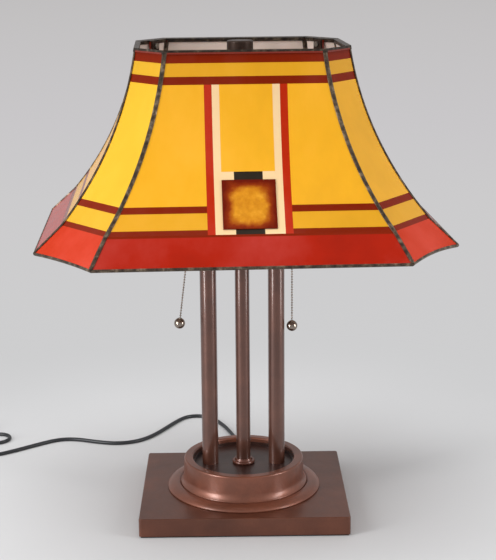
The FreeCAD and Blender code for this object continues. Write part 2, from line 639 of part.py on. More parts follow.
def bead_chain(top, bottom):
    """Beads on a wire between two heights: a ruled loft through six-sided sections."""
    waist, bead = size("bead_waist"), size("bead_radius")
    count = int((top - bottom) // size("bead_pitch"))
    step = (top - bottom) / count
    sections = [hexagon_at(top, waist)]
    for index in range(count):
        start = top - step * index
        for share, radius in ((0.3, bead), (0.65, bead), (0.95, waist)):
            sections.append(hexagon_at(start - share * step, radius))
    sections.append(hexagon_at(bottom, waist))
    return Part.makeLoft(sections, True, True)


def pull_chain(name, side, drop, lean):
    """A bead chain below its link, and the ball on its end."""
    ball_radius = size("ball_radius")
    pivot = Vector(side * size("pull_reach"), 0, level(PIVOT))
    hanging = Placement(pivot, Rotation(Vector(0, 1, 0), lean))
    chain = bead_chain(-size("chain_gap"), ball_radius - drop)
    made(f"pull_chain_{name}", chain, hanging)
    ball = Part.makeSphere(ball_radius, Vector(0, 0, -drop))
    cap = Part.makeCylinder(0.3 * ball_radius, ball_radius, Vector(0, 0, -drop))
    made(f"pull_ball_{name}", ball.fuse(cap).removeSplitter(), hanging)


def sockets():
    """Both sockets with their bulbs, and both pull switches."""
    for name, yaw in (("left", 180), ("right", 0)):
        socket_side(name, yaw)
    socket_cores()
    pull_chain("left", -1, size("left_drop"), size("left_lean"))
    pull_chain("right", 1, size("right_drop"), 0)


# ---------------------------------------------------------------- shade

def flare(height):
    """How far the outline of the shade has spread from its top at a height."""
    top, fold = size("shade_top"), size("fold_height")
    start = math.radians(size("flare_top_angle"))
    finish = math.radians(size("flare_fold_angle"))
    radius = (top - fold) / (math.sin(finish) - math.sin(start))
    lean = math.asin(math.sin(start) + (top - max(height, fold)) / radius)
    spread = radius * (math.cos(start) - math.cos(lean))
    if height < fold:
        spread += size("skirt_run") * (fold - height) / (fold - size("shade_bottom"))
    return spread


def corner_cut(height):
    """How much of the width a corner panel takes at a height."""
    top, fold, bottom = (size(f"corner_cut_{name}") for name in ("top", "fold", "bottom"))
    fold_spread = flare(size("fold_height"))
    spread = flare(height)
    if spread <= fold_spread:
        return top + (fold - top) * spread / fold_spread
    return fold + (bottom - fold) * (spread - fold_spread) / size("skirt_run")


def corner_point(height):
    """The outline's corner at the end of its right side, at a height: on +X, nearer to +Y."""
    width = size("top_half_width") + flare(height)
    depth = size("top_half_depth") + flare(height)
    return Vector(width, depth - size("corner_slant") * corner_cut(height), height)


def front_point(height):
    """The outline's corner at the end of its back side, at a height: on +Y, nearer to +X."""
    width = size("top_half_width") + flare(height)
    depth = size("top_half_depth") + flare(height)
    return Vector(width - corner_cut(height), depth, height)


class Panel:
    """One of the eight sides: the bent sheet that stands on one side of the outline."""

    def __init__(self, name, normal, reach, seams):
        self.name = name
        self.normal = normal
        self.along = UP.cross(normal)
        self.reach = reach    # how far the outer face stands from the axis, by height
        self.seams = seams    # the outline's corners, by height, clockwise and counter-clockwise

    def outer(self, height):
        """A point of the outer face's profile, as distance from the axis and height."""
        return Vector(self.reach(height), 0, height)

    def lean(self, height, below):
        """The angle of the profile from upright, just above or just below a height."""
        step = -0.01 if below else 0.01
        run = self.reach(height - abs(step)) - self.reach(height)
        if not below:
            run = self.reach(height) - self.reach(height + step)
        return math.atan2(run, 0.01)

    def inward(self, height):
        """The direction through the glass at a height; at the fold it halves the bend."""
        fold = size("fold_height")
        if abs(height - fold) < CLOSE:
            lean = (self.lean(height, True) + self.lean(height, False)) / 2
            bend = self.lean(height, True) - self.lean(height, False)
            reach = 1 / math.cos(bend / 2)
        else:
            lean = self.lean(height, height < fold)
            reach = 1.0
        return Vector(-math.cos(lean), 0, -math.sin(lean)) * reach

    def profile(self, top, bottom, proud, thick):
        """The upright section of the sheet between two heights, as a face in the XZ plane."""
        middle = (top + bottom) / 2
        heights = (top, middle, bottom)
        outside = [self.outer(height) - self.inward(height) * proud for height in heights]
        inside = [point + self.inward(height) * thick for point, height in zip(outside, heights)]
        straight = top <= size("fold_height") + CLOSE
        edges = []
        for start, between, finish in (outside, inside[::-1]):
            if straight:
                edges.append(Part.LineSegment(start, finish).toShape())
            else:
                edges.append(Part.Arc(start, between, finish).toShape())
        edges.insert(1, Part.LineSegment(outside[2], inside[2]).toShape())
        edges.append(Part.LineSegment(inside[0], outside[0]).toShape())
        return Part.Face(Part.Wire(edges))

    def place(self, shape):
        """Turn a shape drawn about +X to this side."""
        angle = math.degrees(math.atan2(self.normal.y, self.normal.x))
        shape.rotate(Vector(0, 0, 0), UP, angle)
        return shape

    def bar(self, top, bottom, proud=0.0, thick=None, start=-REACH, finish=REACH):
        """The sheet between two heights, from one distance along the side to another."""
        if thick is None:
            thick = size("glass_thick")
        face = self.profile(top, bottom, proud, thick)
        face.translate(Vector(0, start, 0))
        return self.place(face.extrude(Vector(0, finish - start, 0)))

    def seam_lines(self, skirt):
        """Plan directions of the two seams: a point of each, and where each one runs to."""
        fold = size("fold_height")
        heights = (fold, size("shade_bottom")) if skirt else (size("shade_top"), fold)
        lines = []
        for corner in self.seams:
            start, finish = (corner(height) for height in heights)
            start.z = finish.z = 0
            lines.append((start, (finish - start).normalize()))
        return lines

    def between(self, skirt, first=0.0, last=0.0, arch=0.0):
        """A prism over the plan between the two seams, set back from each by a distance. Its
        outer end is straight and far away, or hollowed at the bottom edge by an arch."""
        (p, p_way), (q, q_way) = self.seam_lines(skirt)
        p = p + self.along * self.set_back(p_way, first)
        q = q - self.along * self.set_back(q_way, last)
        near_p = p - p_way * self.room(p, p_way)
        near_q = q - q_way * self.room(q, q_way)
        if arch:
            edge = self.reach(size("shade_bottom"))
            far_p = p + p_way * self.until(p, p_way, edge)
            far_q = q + q_way * self.until(q, q_way, edge)
            middle = (far_p + far_q) / 2 - self.normal * arch
            outer = Part.Arc(far_p, middle, far_q).toShape()
        else:
            far_p = p + p_way * REACH
            far_q = q + q_way * REACH
            outer = Part.LineSegment(far_p, far_q).toShape()
        wire = Part.Wire([
            Part.LineSegment(near_p, far_p).toShape(), outer,
            Part.LineSegment(far_q, near_q).toShape(), Part.LineSegment(near_q, near_p).toShape(),
        ])
        return Part.Face(wire).extrude(UP * (size("shade_top") + REACH))

    def set_back(self, way, distance):
        """Distance along the side that moves a seam's line sideways by a distance."""
        return distance / abs(way.dot(self.normal))

    def until(self, point, way, edge):
        """How far along a seam's line the side's distance from the axis reaches a value."""
        return (edge - point.dot(self.normal)) / way.dot(self.normal)

    def room(self, point, way):
        """How far back along a seam's line the plan has come in past the glass and the came."""
        return 0.2 * point.dot(self.normal) / way.dot(self.normal)


def mirrored_corner(corner, x_sign, y_sign):
    """The same corner of the outline in another quarter of the plan."""
    def moved(height):
        point = corner(height)
        return Vector(x_sign * point.x, y_sign * point.y, height)
    return moved


def side_reach(start_alias):
    """The distance of a main side from the axis, by height."""
    return lambda height: size(start_alias) + flare(height)


def slanted_reach(normal):
    """The distance of a corner side from the axis, by height."""
    def reach(height):
        point = front_point(height)
        return abs(normal.x) * point.x + abs(normal.y) * point.y
    return reach


def make_panels():
    """The eight sides, going round counter-clockwise from the right."""
    slant = size("corner_slant")
    panels = []
    quarters = {
        (1, 1): "back_right", (-1, 1): "back_left", (-1, -1): "front_left", (1, -1): "front_right",
    }
    side = {key: mirrored_corner(corner_point, *key) for key in quarters}
    end = {key: mirrored_corner(front_point, *key) for key in quarters}
    mains = (
        ("right", Vector(1, 0, 0), "top_half_width", side[(1, -1)], side[(1, 1)]),
        ("back", Vector(0, 1, 0), "top_half_depth", end[(1, 1)], end[(-1, 1)]),
        ("left", Vector(-1, 0, 0), "top_half_width", side[(-1, 1)], side[(-1, -1)]),
        ("front", Vector(0, -1, 0), "top_half_depth", end[(-1, -1)], end[(1, -1)]),
    )
    for name, normal, alias, first, last in mains:
        panels.append(Panel(name, normal, side_reach(alias), (first, last)))
    for (x_sign, y_sign), name in quarters.items():
        normal = Vector(x_sign * slant, y_sign, 0).normalize()
        pair = (side[(x_sign, y_sign)], end[(x_sign, y_sign)])
        if x_sign * y_sign < 0:
            pair = pair[::-1]
        panels.append(Panel(name + "_corner", normal, slanted_reach(normal), pair))
    return panels


def trimmed(panel, bar, skirt, arch=0.0):
    """A bar of a side's glass, cut back to the came at both seams."""
    gap = size("came_half_width")
    return bar.common(panel.between(skirt, gap, gap, arch))


def shade_glass(panels, turn):
    """The bent glass: fields, skirts, bands and the ornament of the front and back panels."""
    top = size("shade_top") - size("top_rim_height")
    fold = size("fold_height")
    edges = {name: size(name) for name in (
        "high_band_bottom", "second_band_top", "second_band_bottom", "third_band_top",
        "third_band_bottom", "low_band_top", "strip_red_outer", "strip_cream_outer",
        "strip_cream_inner", "tile_half_width", "upper_bar_top", "jewel_top")}
    bands = [(top, edges["high_band_bottom"]),
             (edges["second_band_top"], edges["second_band_bottom"]),
             (edges["third_band_top"], edges["third_band_bottom"]), (edges["low_band_top"], fold)]
    fields = [(edges["high_band_bottom"], edges["second_band_top"]),
              (edges["second_band_bottom"], edges["third_band_top"]),
              (edges["third_band_bottom"], edges["low_band_top"])]
    dark, red, cream, jewels, tiles = [], [], [], [], []
    red_outer, cream_outer = edges["strip_red_outer"], edges["strip_cream_outer"]
    cream_inner, tile = edges["strip_cream_inner"], edges["tile_half_width"]
    rim = size("bottom_rim_width")
    for panel in panels:
        ornate = panel.name in ("front", "back")
        yellow = []
        for group, rows in ((dark, bands), (yellow, fields)):
            for index, (high, low) in enumerate(rows):
                whole = trimmed(panel, panel.bar(high, low), False)
                crossed = index >= (2 if group is dark else 1)
                if not (ornate and crossed):
                    group.append(whole)
                    continue
                for start, finish in ((-REACH, -red_outer), (red_outer, REACH)):
                    piece = panel.bar(high, low, start=start, finish=finish)
                    group.append(trimmed(panel, piece, False))
        if ornate:
            high = edges["second_band_bottom"]
            strips = ((red, cream_outer, red_outer), (cream, cream_inner, cream_outer))
            for group, near, far in strips:
                group.append(panel.bar(high, fold, start=-far, finish=-near))
                group.append(panel.bar(high, fold, start=near, finish=far))
            jewel_top, bar_top = edges["jewel_top"], edges["upper_bar_top"]
            low = edges["low_band_top"]
            yellow.append(panel.bar(high, bar_top, start=-cream_inner, finish=cream_inner))
            for upper, lower in ((bar_top, jewel_top), (low, fold)):
                cream.append(panel.bar(upper, lower, start=-cream_inner, finish=-tile))
                cream.append(panel.bar(upper, lower, start=tile, finish=cream_inner))
                tiles.append(panel.bar(upper, lower, start=-tile, finish=tile))
            proud = size("jewel_proud")
            jewels.append(panel.bar(jewel_top, low, proud, size("glass_thick") + proud,
                                    -cream_inner, cream_inner))
        made(f"{panel.name}_glass", Part.makeCompound(yellow), turn)
        skirt_bottom = size("shade_bottom") + rim
        if panel.name.endswith("corner"):
            bar = panel.bar(fold, size("shade_bottom") - 1)
            inner = panel.between(True, size("came_half_width"), size("came_half_width"))
            skirt = bar.common(inner).cut(rim_side(panel, True))
            skirt = max(skirt.Solids, key=lambda solid: solid.Volume)
        else:
            skirt = trimmed(panel, panel.bar(fold, skirt_bottom), True)
        made(f"{panel.name}_skirt", skirt, turn)
    for label, pieces in (("dark_bands", dark), ("red_strips", red), ("cream_strips", cream),
                          ("center_jewels", jewels), ("black_tiles", tiles)):
        made(label, Part.makeCompound(pieces), turn)


def rim_side(panel, below=False):
    """One side of the bottom rim; with below set, everything from the rim down, for cutting."""
    proud = size("rim_proud")
    thick = size("glass_thick") + 2 * proud
    bottom, width = size("shade_bottom"), size("bottom_rim_width")
    if not panel.name.endswith("corner"):
        return panel.bar(bottom + width, bottom, proud, thick).common(panel.between(True))
    arch = size("corner_arch")
    whole = panel.bar(bottom + width + 2 * arch, bottom, proud, thick)
    run = (panel.reach(bottom) - panel.reach(bottom + width))
    outer = panel.between(True, arch=arch)
    inner = panel.between(True, -1, -1, arch=arch)
    inner.translate(panel.normal * -run)
    if below:
        return whole.cut(inner).fuse(panel.bar(bottom, bottom - 2, proud, thick))
    return whole.common(outer).cut(inner)


def shade_came(panels, turn):
    """The seam came and the top and bottom rims."""
    proud, rim_proud = size("came_proud"), size("rim_proud")
    thick, rim_thick = size("glass_thick") + 2 * proud, size("glass_thick") + 2 * rim_proud
    top, fold, bottom = size("shade_top"), size("fold_height"), size("shade_bottom")
    half = size("came_half_width")
    rim_bottom = top - size("top_rim_height")

    top_sides, bottom_sides = [], []
    for panel in panels:
        bar = panel.bar(top + size("top_rim_rise"), rim_bottom, rim_proud, rim_thick)
        top_sides.append(bar.common(panel.between(False)))
        bottom_sides.append(rim_side(panel))
    top_rim = top_sides[0].multiFuse(top_sides[1:]).removeSplitter()
    bottom_rim = bottom_sides[0].multiFuse(bottom_sides[1:]).removeSplitter()
    corners = [panel for panel in panels if panel.name.endswith("corner")]
    lugs, lug_holes = [], []
    for panel in corners:
        lug, hole = rim_lug(panel)
        lugs.append(lug)
        lug_holes.append(hole)
    top_rim = top_rim.multiFuse(lugs).cut(Part.makeCompound(lug_holes))
    made("top_rim", top_rim, turn)
    made("bottom_rim", bottom_rim, turn)

    wings = {}
    for panel in panels:
        for skirt in (False, True):
            upper, lower = (fold, bottom) if skirt else (rim_bottom, fold)
            bar = panel.bar(upper, lower, proud, thick)
            whole = bar.common(panel.between(skirt))
            inner = panel.between(skirt, half, half)
            for wing in whole.cut(inner).Solids:
                key = (skirt, nearest_seam(panels, wing.CenterOfMass))
                wings.setdefault(key, []).append(wing)
    cames = []
    for (skirt, _), pieces in wings.items():
        if not skirt:
            cames += pieces
            continue
        bar = pieces[0].fuse(pieces[1]).cut(bottom_rim)
        cames.append(max(bar.Solids, key=lambda solid: solid.Volume))
    made("seam_cames", Part.makeCompound(cames), turn)


def nearest_seam(panels, point):
    """The number of the seam that a piece of came belongs to."""
    mains = panels[:4]
    seams = [corner for panel in mains for corner in panel.seams]
    height = min(max(point.z, size("shade_bottom")), size("shade_top"))
    gaps = [(corner(height) - point).Length for corner in seams]
    return gaps.index(min(gaps))


def rim_inner(panel):
    """How far the inner face of the top rim stands from the axis on a side."""
    inside = size("glass_thick") + size("rim_proud")
    return panel.reach(size("shade_top")) - inside


def rim_lug(panel):
    """A plate soldered to the rim's inner face for the spider, and the hole in it."""
    thick, width = size("lug_thick"), size("lug_width")
    reach = rim_inner(panel)
    low = size("shade_top") - size("lug_height")
    corner = Vector(reach - thick, -width / 2, low)
    lug = Part.makeBox(thick + size("lug_sunk"), width, size("lug_height") - CLOSE, corner)
    height = size("shade_top") - size("tab_screw_drop")
    radius = size("tab_screw_radius") + size("screw_gap")
    hole = Part.makeCylinder(radius, 3 * thick, Vector(reach - 2 * thick, 0, height), OUTWARD)
    return panel.place(lug), panel.place(hole)


def shade_fittings(panels, turn):
    """The spider under the finial, its screws, the finial and the seat washer."""
    corners = [panel for panel in panels if panel.name.endswith("corner")]
    hub_bottom, thick = level(HUB_BOTTOM), size("spider_thick")
    hub = Part.makeCylinder(size("hub_radius"), thick, Vector(0, 0, hub_bottom))
    width, tab_thick, tab_width = size("spider_arm_width"), size("tab_thick"), size("tab_width")
    screw, head = size("tab_screw_radius"), size("tab_screw_head")
    head_thick = size("tab_screw_head_thick")
    screw_height = size("shade_top") - size("tab_screw_drop")
    tab_top = size("shade_top") - size("tab_below_rim")
    spider, holes, screws = [], [], []
    for panel in corners:
        seat = rim_inner(panel) - size("lug_thick")
        arm = Part.makeBox(seat, width, thick, Vector(0, -width / 2, hub_bottom))
        tab = Part.makeBox(tab_thick, tab_width, tab_top - hub_bottom,
                           Vector(seat - tab_thick, -tab_width / 2, hub_bottom))
        spider += [panel.place(arm), panel.place(tab)]
        inner = Vector(seat - tab_thick, 0, screw_height)
        start = inner - OUTWARD * tab_thick
        hole = Part.makeCylinder(screw + size("screw_gap"), 3 * tab_thick, start, OUTWARD)
        holes.append(panel.place(hole))
        shank = Part.makeCylinder(screw, tab_thick + size("lug_thick"), inner, OUTWARD)
        pan = Part.makeCylinder(head, head_thick, inner - OUTWARD * head_thick, OUTWARD)
        screws.append(panel.place(pan.fuse(shank).removeSplitter()))
    bore = Part.makeCylinder(level(PIPE_HOLE), 3 * thick, Vector(0, 0, hub_bottom - thick))
    frame = hub.multiFuse(spider).removeSplitter().cut(Part.makeCompound(holes + [bore]))
    made("shade_spider", frame, turn)
    made("spider_screws", Part.makeCompound(screws), turn)

    washer = new_body("seat_washer", WASHER_BOTTOM)
    turned(washer, [
        (PIPE_HOLE, "0"), ("Lamp.washer_radius", "0"), ("Lamp.washer_radius", "Lamp.washer_thick"),
        (PIPE_HOLE, "Lamp.washer_thick"),
    ])
    finial = new_body("finial", FINIAL_BOTTOM)
    edge, full, tall = "Lamp.finial_edge", "Lamp.finial_radius", "Lamp.finial_height"
    turned(finial, [
        (PIPE_HOLE, "0"), (f"{full} - {edge}", "0"), (full, edge, edge, False),
        (full, f"{tall} - {edge}"), (f"{full} - {edge}", tall, edge, False), ("0", tall),
        ("0", "Lamp.finial_bore_depth"), (PIPE_HOLE, "Lamp.finial_bore_depth"),
    ])


def shade():
    """The whole shade, turned a little on its seat."""
    turn = Placement(Vector(0, 0, 0), Rotation(UP, size("shade_turn")))
    panels = make_panels()
    shade_glass(panels, turn)
    shade_came(panels, turn)
    shade_fittings(panels, turn)


# ---------------------------------------------------------------- cord

def cord_path(points):
    """Straight runs joined by tangent arcs, as large as the runs allow; also the arcs' radii."""
    share = 0.45
    edges, radii, last = [], [], points[0]
    for before, corner, after in zip(points, points[1:], points[2:]):
        into, out = (corner - before), (after - corner)
        turn = into.getAngle(out)
        shorter = min(into.Length, out.Length)
        radius = share * shorter / math.tan(turn / 2)
        start = corner - into.normalize() * share * shorter
        finish = corner + out.normalize() * share * shorter
        bisector = (finish - corner) + (start - corner)
        depth = radius / math.cos(turn / 2) - radius
        middle = corner + bisector.normalize() * depth
        edges.append(Part.LineSegment(last, start).toShape())
        edges.append(Part.Arc(start, middle, finish).toShape())
        radii.append(round(radius))
        last = finish
    edges.append(Part.LineSegment(last, points[-1]).toShape())
    return Part.Wire(edges), radii


def cord():
    """Strain relief, cord, its coil and the plug."""
    exit_y = size("base_depth") / 2
    radius = size("cord_radius")
    height = size("cord_exit_height")
    seat, flange = size("grommet_seat") - size("grommet_gap"), size("grommet_radius")
    wall, tip, length = size("base_wall"), size("grommet_tip"), size("grommet_length")
    outline = [(0, -wall), (seat, -wall), (seat, 0), (flange, 0), (flange, size("grommet_flange")),
               (tip, length), (0, length)]
    corners = [Vector(across, along, 0) for across, along in outline]
    face = Part.Face(Part.makePolygon(corners + corners[:1]))
    grommet = face.revolve(Vector(0, 0, 0), Vector(0, 1, 0), WHOLE_TURN)
    made("cord_grommet", grommet, Placement(Vector(0, exit_y, height), Rotation()))

    points = [Vector(*point) for point in CORD_ROUTE]
    points[0] = Vector(0, exit_y + length, height)
    wire, radii = cord_path(points)
    section = Part.Wire(Part.makeCircle(radius, points[0], points[1] - points[0]))
    tube = wire.makePipeShell([section], True, True)
    print("cord: arc radii", radii)
    ratio = tube.Volume / (math.pi * radius ** 2 * wire.Length)
    print(f"cord: length {wire.Length:.0f} mm, volume ratio {ratio:.4f}")
    made("cord_run", tube)

    coil = new_body("cord_coil")
    coil.setExpression("Placement.Base.x", "Lamp.coil_x")
    coil.setExpression("Placement.Base.y", "Lamp.coil_y")
    two_layers = "4 * Lamp.cord_radius"
    turned(coil, [
        ("Lamp.coil_inner", "0"), ("Lamp.coil_outer", "0"), ("Lamp.coil_outer", two_layers),
        ("Lamp.coil_inner", two_layers),
    ])
    plug()


def plug():
    """The moulded plug lying beside the coil, with its blades."""
    radius, relief = size("cord_radius"), size("plug_relief")
    long, wide, thick = size("plug_length"), size("plug_width"), size("plug_thick")
    housing = Part.makeBox(long, wide, thick, Vector(relief, -wide / 2, -thick / 2))
    housing = housing.makeFillet(size("plug_round"), housing.Edges)
    thin, full = radius + size("relief_wall"), thick / 2 - size("relief_inset")
    cone = Part.makeCone(thin, full, relief + size("relief_overlap"), Vector(0, 0, 0), OUTWARD)
    pieces = [housing.fuse(cone).removeSplitter()]
    reach, blade, width = size("blade_length"), size("blade_thick"), size("blade_width")
    for sign in (-1, 1):
        side = sign * size("blade_spacing") / 2 - blade / 2
        corner = Vector(relief + long, side, -width / 2)
        pieces.append(Part.makeBox(reach, blade, width, corner))
    across = size("coil_x") - size("coil_outer") + radius
    start = Vector(across, size("coil_y") + size("coil_turn_gap"), thick / 2)
    made("cord_plug", Part.makeCompound(pieces), Placement(start, Rotation(UP, 90)))


# ---------------------------------------------------------------- build and write

def write_parts():
    """Check every object, then write one STEP file for each node."""
    doc.recompute()
    for thing in doc.Objects:
        if {"Invalid", "Error"} & set(thing.State):
            raise RuntimeError(f"{thing.Label} failed: {thing.State}")
    for node in nodes:
        if node.Shape.isNull() or not node.Shape.isValid() or not node.Shape.Solids:
            raise RuntimeError(f"{node.Label} has no valid solid")
    labels = [node.Label for node in nodes]
    if len(set(labels)) != len(labels):
        raise RuntimeError("two nodes share a name")
    os.makedirs("parts", exist_ok=True)
    for node in nodes:
        node.Shape.exportStep(f"parts/{node.Label}.step")
    print(f"{len(nodes)} nodes, {sum(len(node.Shape.Solids) for node in nodes)} solids")


base()
pedestal()
columns()
fastenings()
cluster()
sockets()
shade()
cord()
write_parts()
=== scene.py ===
"""Looks of the stained glass table lamp: materials, cord, bead chains, studio and camera."""
import json
import math

import bmesh
import bpy
from mathutils import Matrix, Vector


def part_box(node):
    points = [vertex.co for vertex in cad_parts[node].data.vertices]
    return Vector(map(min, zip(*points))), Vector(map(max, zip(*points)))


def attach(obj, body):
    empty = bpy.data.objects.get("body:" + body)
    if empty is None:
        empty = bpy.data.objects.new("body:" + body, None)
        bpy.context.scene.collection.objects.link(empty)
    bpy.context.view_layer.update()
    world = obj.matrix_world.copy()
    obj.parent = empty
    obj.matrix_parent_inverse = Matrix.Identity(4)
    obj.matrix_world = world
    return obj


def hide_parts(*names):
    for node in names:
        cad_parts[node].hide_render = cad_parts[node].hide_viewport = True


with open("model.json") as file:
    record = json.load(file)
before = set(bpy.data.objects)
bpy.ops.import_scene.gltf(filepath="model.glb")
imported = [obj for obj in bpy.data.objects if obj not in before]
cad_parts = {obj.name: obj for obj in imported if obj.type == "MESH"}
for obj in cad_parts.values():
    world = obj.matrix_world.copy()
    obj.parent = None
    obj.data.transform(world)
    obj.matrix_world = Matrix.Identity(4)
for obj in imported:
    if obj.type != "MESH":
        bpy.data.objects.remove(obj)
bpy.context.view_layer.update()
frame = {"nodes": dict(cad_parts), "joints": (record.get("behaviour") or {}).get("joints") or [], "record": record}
NODES = frame["nodes"]
MM = 0.001

# How far the shade is turned on its seat, in degrees, as in the CAD model.
SHADE_TURN = 2.62

# The skirt of the shade on the outer faces of its glass, in millimetres, as in the CAD model:
# half its width and depth at the lower edge, and what a corner side takes there and at the fold.
SKIRT_BOTTOM, SKIRT_FOLD = 346.9, 375.4
SKIRT_WIDTH, SKIRT_DEPTH = 231.53, 213.13
SKIRT_CUT, FOLD_CUT = 65, 49.8
SKIRT_RUN = 30.6   # how far it spreads outward from the fold to the lower edge
SKIRT_SLOPE = SKIRT_RUN / (SKIRT_FOLD - SKIRT_BOTTOM)
LEAN = math.atan(SKIRT_SLOPE)
CORNER_SLANT = 4 / 3
GLASS_THICK = 3
SIDES = 8   # numbered round from the corner side between right and back, so corners are even
# How far the lower edge of each corner side rises in its middle, by the side's number.
CORNER_ARCH = {0: 2.6, 2: 2.6, 4: 1.6, 6: 3.6}
ARCH_STEPS = 14

# The shade's top edge: two corners of its plan, in one quarter. In millimetres, how far the came's
# lip reaches down its outer face, and how far from a corner the seam's came covers that face.
TOP_CORNERS = ((119.6, 57.6, 0), (86.8, 101.3, 0))
RIM_LIP, RIM_SEAM = 2.6, 3.4

# Colour limits on the glass, in millimetres: the heights of the narrow fields at the top and the
# bottom, painted darker as painted shade, and how far under the fold the dark band ends.
LOW_FIELD, HIGH_FIELD = 18, 16
BAND_OVER_FOLD = 2
JEWEL_HALF_WIDTH = 0.0286   # of the ornament's square, in metres

# Share of the photographed colour that the glass itself has, under lights brighter than 1.
GLASS_DEPTH = 0.84

FAR_GREY = (191, 189, 189)   # the floor far away and the background over it

CORD_DIAMETER = 0.005
CORD_ROUTE = [
    (0, 133, 9), (0, 152, 6.2), (-1.5, 174, 2.6), (-6, 200, 2.6), (-15, 234, 2.6),
    (-27, 270, 2.6), (-44, 300, 2.6), (-62, 309, 2.6), (-80, 305, 2.6), (-93, 287, 2.6),
    (-107, 260, 2.6), (-123, 230, 2.6), (-143, 207, 2.6), (-170, 198, 2.6), (-200, 205, 2.6),
    (-230, 218, 2.6), (-255, 217, 2.6), (-281, 198.5, 2.6), (-305, 179, 2.6), (-330, 161, 2.6),
    (-354, 152, 2.6), (-381, 155, 2.6), (-398, 174, 2.6), (-395, 197, 2.6), (-376, 208, 2.6),
    (-354, 206, 2.6), (-335, 205, 2.6), (-324, 216, 2.6), (-324, 231, 2.6), (-335, 241.5, 2.6),
    (-352, 240, 2.6), (-369, 231.5, 2.6),
]
COIL_ENTRY = math.radians(-76)   # where the cord joins its coil, seen from above
COIL_LEAVE = math.radians(-180)  # where it leaves for the plug
COIL_TURNS = 2.6                 # in each of its two layers
COIL_OUTER = 37 * MM             # radius of the outermost turn's centre line
COIL_PITCH = 1.02                # from turn to turn, in diameters of the cord
COIL_LOW = 0.52                  # height of the lower layer's centre line, in diameters
COIL_CLIMB, CLIMB_LENGTH = 0.47, 0.06   # where the upper layer starts, as shares of the way
COIL_STEPS = 14                  # points in a turn

# The bead chains, in metres, with the gaps at the link and before the ball's middle.
BEAD_PITCH, BEAD_RADIUS, BEAD_WIRE = 0.0031, 0.00118, 0.0004
CHAIN_START, CHAIN_END = 0.0016, 0.0062

# The floor, in metres: half its width, and where its own shading gives way to a glowing grey, painted darker with
# distance as painted falloff of the light.
FLOOR_REACH, FLOOR_NEAR, FLOOR_FAR = 60.0, 0.28, 0.75

# Name, place, target, width and height, and power of each light. The strips are for gloss only.
LIGHTS = [
    ("key", (-1.85, -1.05, 1.05), (0, 0, 0.4), (0.6, 1.7), 30),
    ("fill", (1.95, -0.85, 0.95), (0, 0, 0.4), (0.5, 1.6), 15),
    ("top", (-0.2, -0.3, 2.8), (0, 0.1, 0.2), (2.4, 2.0), 46),
    ("left_strip", (-0.74, -0.58, 0.26), (0, 0, 0.26), (0.2, 0.5), 4.2),
    ("right_strip", (0.83, -0.34, 0.26), (0, 0, 0.26), (0.2, 0.5), 2.2),
]

CAMERA_PLACE = (-0.01124, -1.57856, 0.67116)
CAMERA_PITCH, CAMERA_YAW, CAMERA_ROLL = -0.2421, 0.0116, -0.0077
CAMERA_LENS, CAMERA_SENSOR = 87.98, 36


# ---------------------------------------------------------------- materials

class Nodes:
    """A material's node tree, with short ways to add and link nodes."""

    def __init__(self, name):
        self.material = bpy.data.materials.new(name)
        self.material.use_nodes = True
        self.tree = self.material.node_tree
        self.shader = self.tree.nodes["Principled BSDF"]
        self.coordinates = self.tree.nodes.new("ShaderNodeTexCoord")

    def feed(self, socket, value):
        """Link a socket to another one, or give it a value."""
        if isinstance(value, bpy.types.NodeSocket):
            self.tree.links.new(value, socket)
        else:
            socket.default_value = value

    def node(self, kind, inputs=None, **settings):
        made = self.tree.nodes.new("ShaderNode" + kind)
        for name, value in settings.items():
            setattr(made, name, value)
        for name, value in (inputs or {}).items():
            self.feed(made.inputs[name], value)
        return made

    def math(self, operation, first, second=0.0, clamp=False):
        made = self.node("Math", {0: first, 1: second}, operation=operation, use_clamp=clamp)
        return made.outputs[0]

    def vector(self, operation, first, second=None):
        """A vector operation, which gives a number for a length, a distance or a product."""
        inputs = {0: first} if second is None else {0: first, 1: second}
        made = self.node("VectorMath", inputs, operation=operation)
        number = operation in ("LENGTH", "DISTANCE", "DOT_PRODUCT")
        return made.outputs["Value" if number else "Vector"]

    def place(self):
        """The point of the surface, in the object's own coordinates."""
        return self.coordinates.outputs["Object"]

    def height(self):
        return self.node("SeparateXYZ", {"Vector": self.place()}).outputs["Z"]

    def noise(self, scale, detail=3.0, roughness=0.5, stretch=None):
        """Noise in the object's own coordinates, 0 to 1, with a scale per metre."""
        source = self.place()
        if stretch:
            source = self.node("Mapping", {"Vector": source, "Scale": stretch}).outputs[0]
        made = self.node("TexNoise", {"Vector": source, "Scale": scale, "Detail": detail,
                                      "Roughness": roughness})
        return made.outputs["Fac"]

    def ramp(self, factor, stops):
        """A colour ramp from [(place, (r, g, b)), ...]."""
        made = self.node("ValToRGB", {"Fac": factor})
        elements = made.color_ramp.elements
        while len(elements) < len(stops):
            elements.new(0.5)
        for element, (place, color) in zip(elements, stops):
            element.position = place
            element.color = (*color, 1)
        return made.outputs["Color"]

    def spread(self, factor, low, high):
        """A factor of 0 to 1 taken to a range."""
        made = self.node("MapRange", {"Value": factor, "To Min": low, "To Max": high})
        return made.outputs["Result"]

    def mix(self, factor, first, second):
        """The first colour at a factor of 0, the second at 1."""
        colors = [color if isinstance(color, bpy.types.NodeSocket) else (*color, 1)
                  for color in (first, second)]
        made = self.node("Mix", {0: factor, 6: colors[0], 7: colors[1]}, data_type="RGBA")
        return made.outputs[2]

    def bump(self, *layers):
        """Bumps on the shader's normal: (height, strength, distance in metres)."""
        normal = None
        for height, strength, distance in layers:
            inputs = {"Height": height, "Strength": strength, "Distance": distance}
            if normal is not None:
                inputs["Normal"] = normal
            normal = self.node("Bump", inputs).outputs["Normal"]
        self.feed(self.shader.inputs["Normal"], normal)

    def set(self, **values):
        for name, value in values.items():
            self.feed(self.shader.inputs[name.replace("_", " ")], value)
        return self.material


